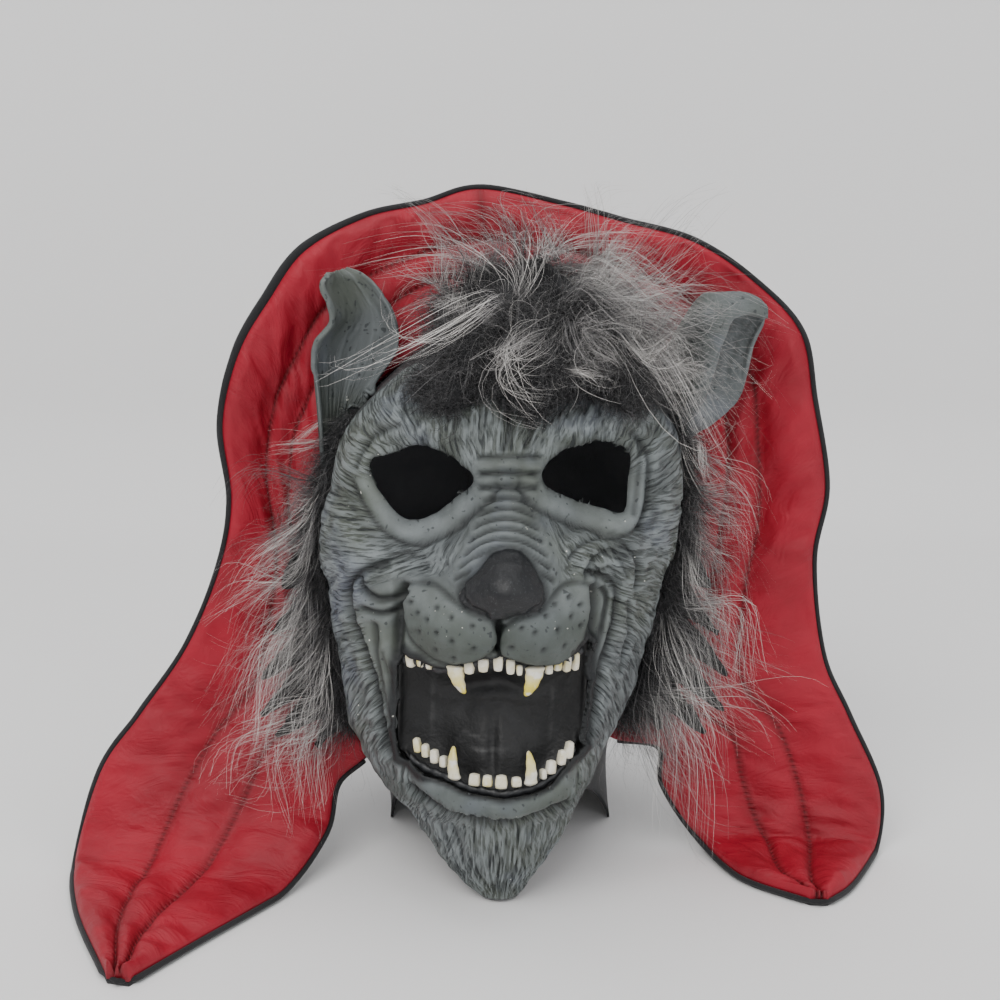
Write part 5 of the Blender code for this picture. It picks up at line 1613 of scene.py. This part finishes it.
def growCrest(materials):
    random = np.random.default_rng(120)
    centre = np.array((0.020, 0.045, 0.295))
    for name, hair in crestHair.items():
        column = random.uniform(0.01, 0.99, hair["locks"])
        row = random.beta(0.55, 1.1, hair["locks"])
        if name != "under":
            column = random.beta(1.7, 1.1, hair["locks"]) * 0.90 + 0.08
            row = random.uniform(0.12, 0.95, hair["locks"])
        roots, normals = crestSurface(column, row)
        roots = roots - normals * 0.003
        radial = roots - centre
        radial[:, 1] *= 0.6
        turned = np.stack([radial[:, 2], 0.2 * radial[:, 1], -radial[:, 0]], axis=-1)
        ways = unit(radial) * 0.55 + unit(turned) * 0.50 + normals * 0.35
        ways = unit(ways + random.normal(size=roots.shape) * 0.38)
        ways[:, 2] = np.maximum(ways[:, 2], -0.30 if name == "under" else -0.05)
        low = 0.72 if name == "under" else 0.38
        short = low + (1 - low) * ease(0.10, 0.50, row)
        if name != "under":
            short = short * (0.60 + 0.40 * ease(0.0, 0.35, column))
        upright = np.clip(unit(ways)[:, 2], 0, 1) * ease(0.45, 0.85, row)
        lengths = random.uniform(*hair["length"], hair["locks"]) * short * (1 - 0.42 * upright)
        light = random.random(hair["locks"])
        if name == "under":
            core = bell((column - 0.40) / 0.16) * bell((row - 0.45) / 0.25)
            tips = (0.04 + 0.46 * light ** 1.6) * (1 - 0.75 * core)
            base = 0.02 * np.ones_like(light)
        elif name == "fuzz":
            tips = 0.38 + 0.42 * light
            base = 0.06 + 0.25 * light ** 2
        else:
            tips = 0.55 + 0.40 * light
            base = 0.12 + 0.35 * light ** 2
        growHair("crest_hair_" + name, roots, normals, unit(ways), lengths, (base, tips), hair,
                 130 + len(name), materials["hair"])
    print("crest grown")


sideHair = {
    "left": (0.075, 0.37),  # where along the face's edge it grows
    "right": (0.625, 0.925),
    "under": {"locks": 460, "each": 15, "steps": 6, "spread": 0.0026, "fray": 0.40, "gather": 0.3,
              "curl": 0.28, "waves": 1.1, "fall": (0.0, -0.05, -0.30), "width": 0.00034,
              "length": (0.010, 0.024)},
    "over": {"locks": 62, "each": 30, "steps": 13, "spread": 0.0018, "fray": 0.08, "gather": 0.7,
             "curl": 0.38, "waves": 0.95, "fall": (0.0, -0.04, -0.34), "width": 0.00024,
             "length": (0.034, 0.076)},
    "fuzz": {"locks": 210, "each": 14, "steps": 9, "spread": 0.0035, "fray": 0.50, "gather": 0.2,
             "curl": 0.42, "waves": 1.1, "fall": (0.0, -0.04, -0.28), "width": 0.00014,
             "length": (0.020, 0.050)},
}


# How thick and long the fur is along the face's edge, from the jaw up
def sideFullness(low):
    return 0.30 + 0.70 * bell((low - 0.16) / 0.10) + 0.25 * bell((low - 0.33) / 0.04)


def growSides(materials):
    random = np.random.default_rng(140)
    for side in ("left", "right"):
        first, last = sideHair[side]
        for name in ("under", "over", "fuzz"):
            hair = sideHair[name]
            along = random.uniform(first, last, hair["locks"])
            low = np.where(along < 0.5, along, 1 - along)
            keep = random.random(hair["locks"]) < np.clip(sideFullness(low) * 1.15, 0, 1)
            along = along[keep]
            low = low[keep]
            back = random.uniform(0.012, 0.13, len(along))
            normals = backNormal(along, back)
            roots = backPoint(along, back) + normals * 0.0008
            away = unit(normals * np.array((1.0, 0.25, 0.8)))
            down = np.array((0.0, 0.0, -1.0))
            forward = np.array((0.0, -1.0, 0.0))
            ways = unit(away * 0.85 + forward * 0.50 + down * (0.62 - 0.9 * low)[:, None]
                        + random.normal(size=roots.shape) * 0.30)
            lengths = random.uniform(*hair["length"], len(along)) * (0.45 + 0.62 * sideFullness(low))
            light = random.random(len(along))
            if name == "under":
                tips = 0.03 + 0.30 * light ** 3
                base = 0.04 * np.ones_like(light)
            else:
                tips = (0.50 if name == "over" else 0.24) + 0.45 * light
                base = 0.06 + 0.34 * light ** 2
            growHair("side_hair_" + side + "_" + name, roots, normals, ways, lengths, (base, tips), hair,
                     150 + len(side) * 3 + len(name), materials["hair"])
    print("sides grown")


stageShape = {"width": 6.0, "front": -2.2, "wall": 0.62, "bend": 0.10, "height": 3.0}
viewShape = {"elevation": 17.0, "distance": 0.95, "lens": 68.4, "target": (0.0, 0.011, 0.209)}


lights = {  # place, target, size, power, colour
    "key": ((-0.55, -1.15, 1.55), (0.0, 0.0, 0.12), (1.3, 1.0), 22.0, (1.0, 0.985, 0.96)),
    "fill": ((1.2, -1.1, 0.9), (0.0, 0.0, 0.15), (1.2, 1.2), 6.5, (1.0, 1.0, 1.0)),
    "top": ((0.1, 0.1, 1.9), (0.0, 0.0, 0.0), (1.8, 1.2), 11.0, (1.0, 1.0, 1.0)),
}


def buildStage():
    bm = bmesh.new()
    half = stageShape["width"] / 2
    turns = [math.radians(angle) for angle in range(0, 91, 6)]
    profile = [(stageShape["front"], 0.0)]
    for turn in turns:
        profile.append((stageShape["wall"] - stageShape["bend"] * (1 - math.sin(turn)),
                        stageShape["bend"] * (1 - math.cos(turn))))
    profile.append((stageShape["wall"], stageShape["height"]))
    verts = [bm.verts.new((-half, y, z)) for y, z in profile]
    edges = [bm.edges.new(pair) for pair in zip(verts, verts[1:])]
    made = bmesh.ops.extrude_edge_only(bm, edges=edges)
    moved = [item for item in made["geom"] if isinstance(item, bmesh.types.BMVert)]
    bmesh.ops.translate(bm, verts=moved, vec=(stageShape["width"], 0, 0))
    bm.normal_update()
    if sum(face.normal.z for face in bm.faces) < 0:
        bmesh.ops.reverse_faces(bm, faces=bm.faces)
    mesh = bpy.data.meshes.new("backdrop")
    bm.to_mesh(mesh)
    bm.free()
    mesh.shade_smooth()
    backdrop = bpy.data.objects.new("backdrop", mesh)
    bpy.context.scene.collection.objects.link(backdrop)
    finish = Finish("pale paper")
    finish.link("Base Color", finish.mix(finish.noise(3, 2.0), (0.82, 0.812, 0.808), (0.86, 0.852, 0.848)))
    finish.link("Roughness", 0.75)
    finish.link("Specular IOR Level", 0.2)
    behind = finish.add("ShaderNodeNewGeometry", output="Backfacing")
    finish.link("Alpha", 1 - behind)  # seen from behind, the wall is clear
    mesh.materials.append(finish.material)


def addLight(name, place, target, size, power, colour):
    lamp = bpy.data.lights.new(name, "AREA")
    lamp.shape = "RECTANGLE"
    lamp.size, lamp.size_y = size
    lamp.energy = power
    lamp.color = colour
    item = bpy.data.objects.new(name, lamp)
    item.location = place
    item.rotation_euler = (Vector(target) - Vector(place)).to_track_quat("-Z", "Y").to_euler()
    bpy.context.scene.collection.objects.link(item)


def buildView():
    world = bpy.data.worlds.new("room")
    bpy.context.scene.world = world
    world.use_nodes = True
    world.node_tree.nodes["Background"].inputs["Color"].default_value = (0.95, 0.97, 1.0, 1.0)
    world.node_tree.nodes["Background"].inputs["Strength"].default_value = 0.66
    for name, light in lights.items():
        addLight(name, *light)
    camera = bpy.data.cameras.new("view")
    camera.sensor_width = 36.0
    camera.lens = viewShape["lens"]
    item = bpy.data.objects.new("view", camera)
    target = Vector(viewShape["target"]) + Vector(standShift)
    tilt = math.radians(viewShape["elevation"])
    away = Vector((0, -math.cos(tilt), math.sin(tilt))) * viewShape["distance"]
    item.location = target + away
    item.rotation_euler = (-away).to_track_quat("-Z", "Y").to_euler()
    bpy.context.scene.collection.objects.link(item)
    bpy.context.scene.camera = item


def main():
    buildStage()
    buildView()
    materials = {
        "latex": latexFinish("carved latex"),
        "latex inside": clothFinish("latex inside", (0.055, 0.060, 0.062), (0.10, 0.105, 0.105), 700.0, 0.0),
        "satin": satinFinish(),
        "black cloth": clothFinish("black cloth", (0.010, 0.010, 0.011), (0.019, 0.019, 0.021)),
        # painted light: grey inner side of the black head cloth
        "painted-lit cloth inside": clothFinish("painted-lit cloth inside", (0.20, 0.20, 0.215), (0.26, 0.26, 0.28), lit="lit"),
        "binding": clothFinish("black binding", (0.008, 0.008, 0.009), (0.016, 0.016, 0.018)),
        "mouth": mouthFinish(),
        "tooth": toothFinish(),
        "fur": clothFinish("fur backing", (0.006, 0.006, 0.007), (0.022, 0.022, 0.023), 300.0, 0.0),
        "hair": hairFinish("faux fur"),
    }
    buildFace(materials)
    buildLeftEar(materials)
    buildRightEar(materials)
    liner = buildMouth(materials)
    lining, shell = buildHood(materials)
    piping = buildPiping(materials)
    cloth = buildHeadBack(materials)
    for name in furSides:
        buildSideFur(name, materials)
    buildCrest(materials)
    growCrest(materials)
    growSides(materials)
    bpy.context.view_layer.update()


main()
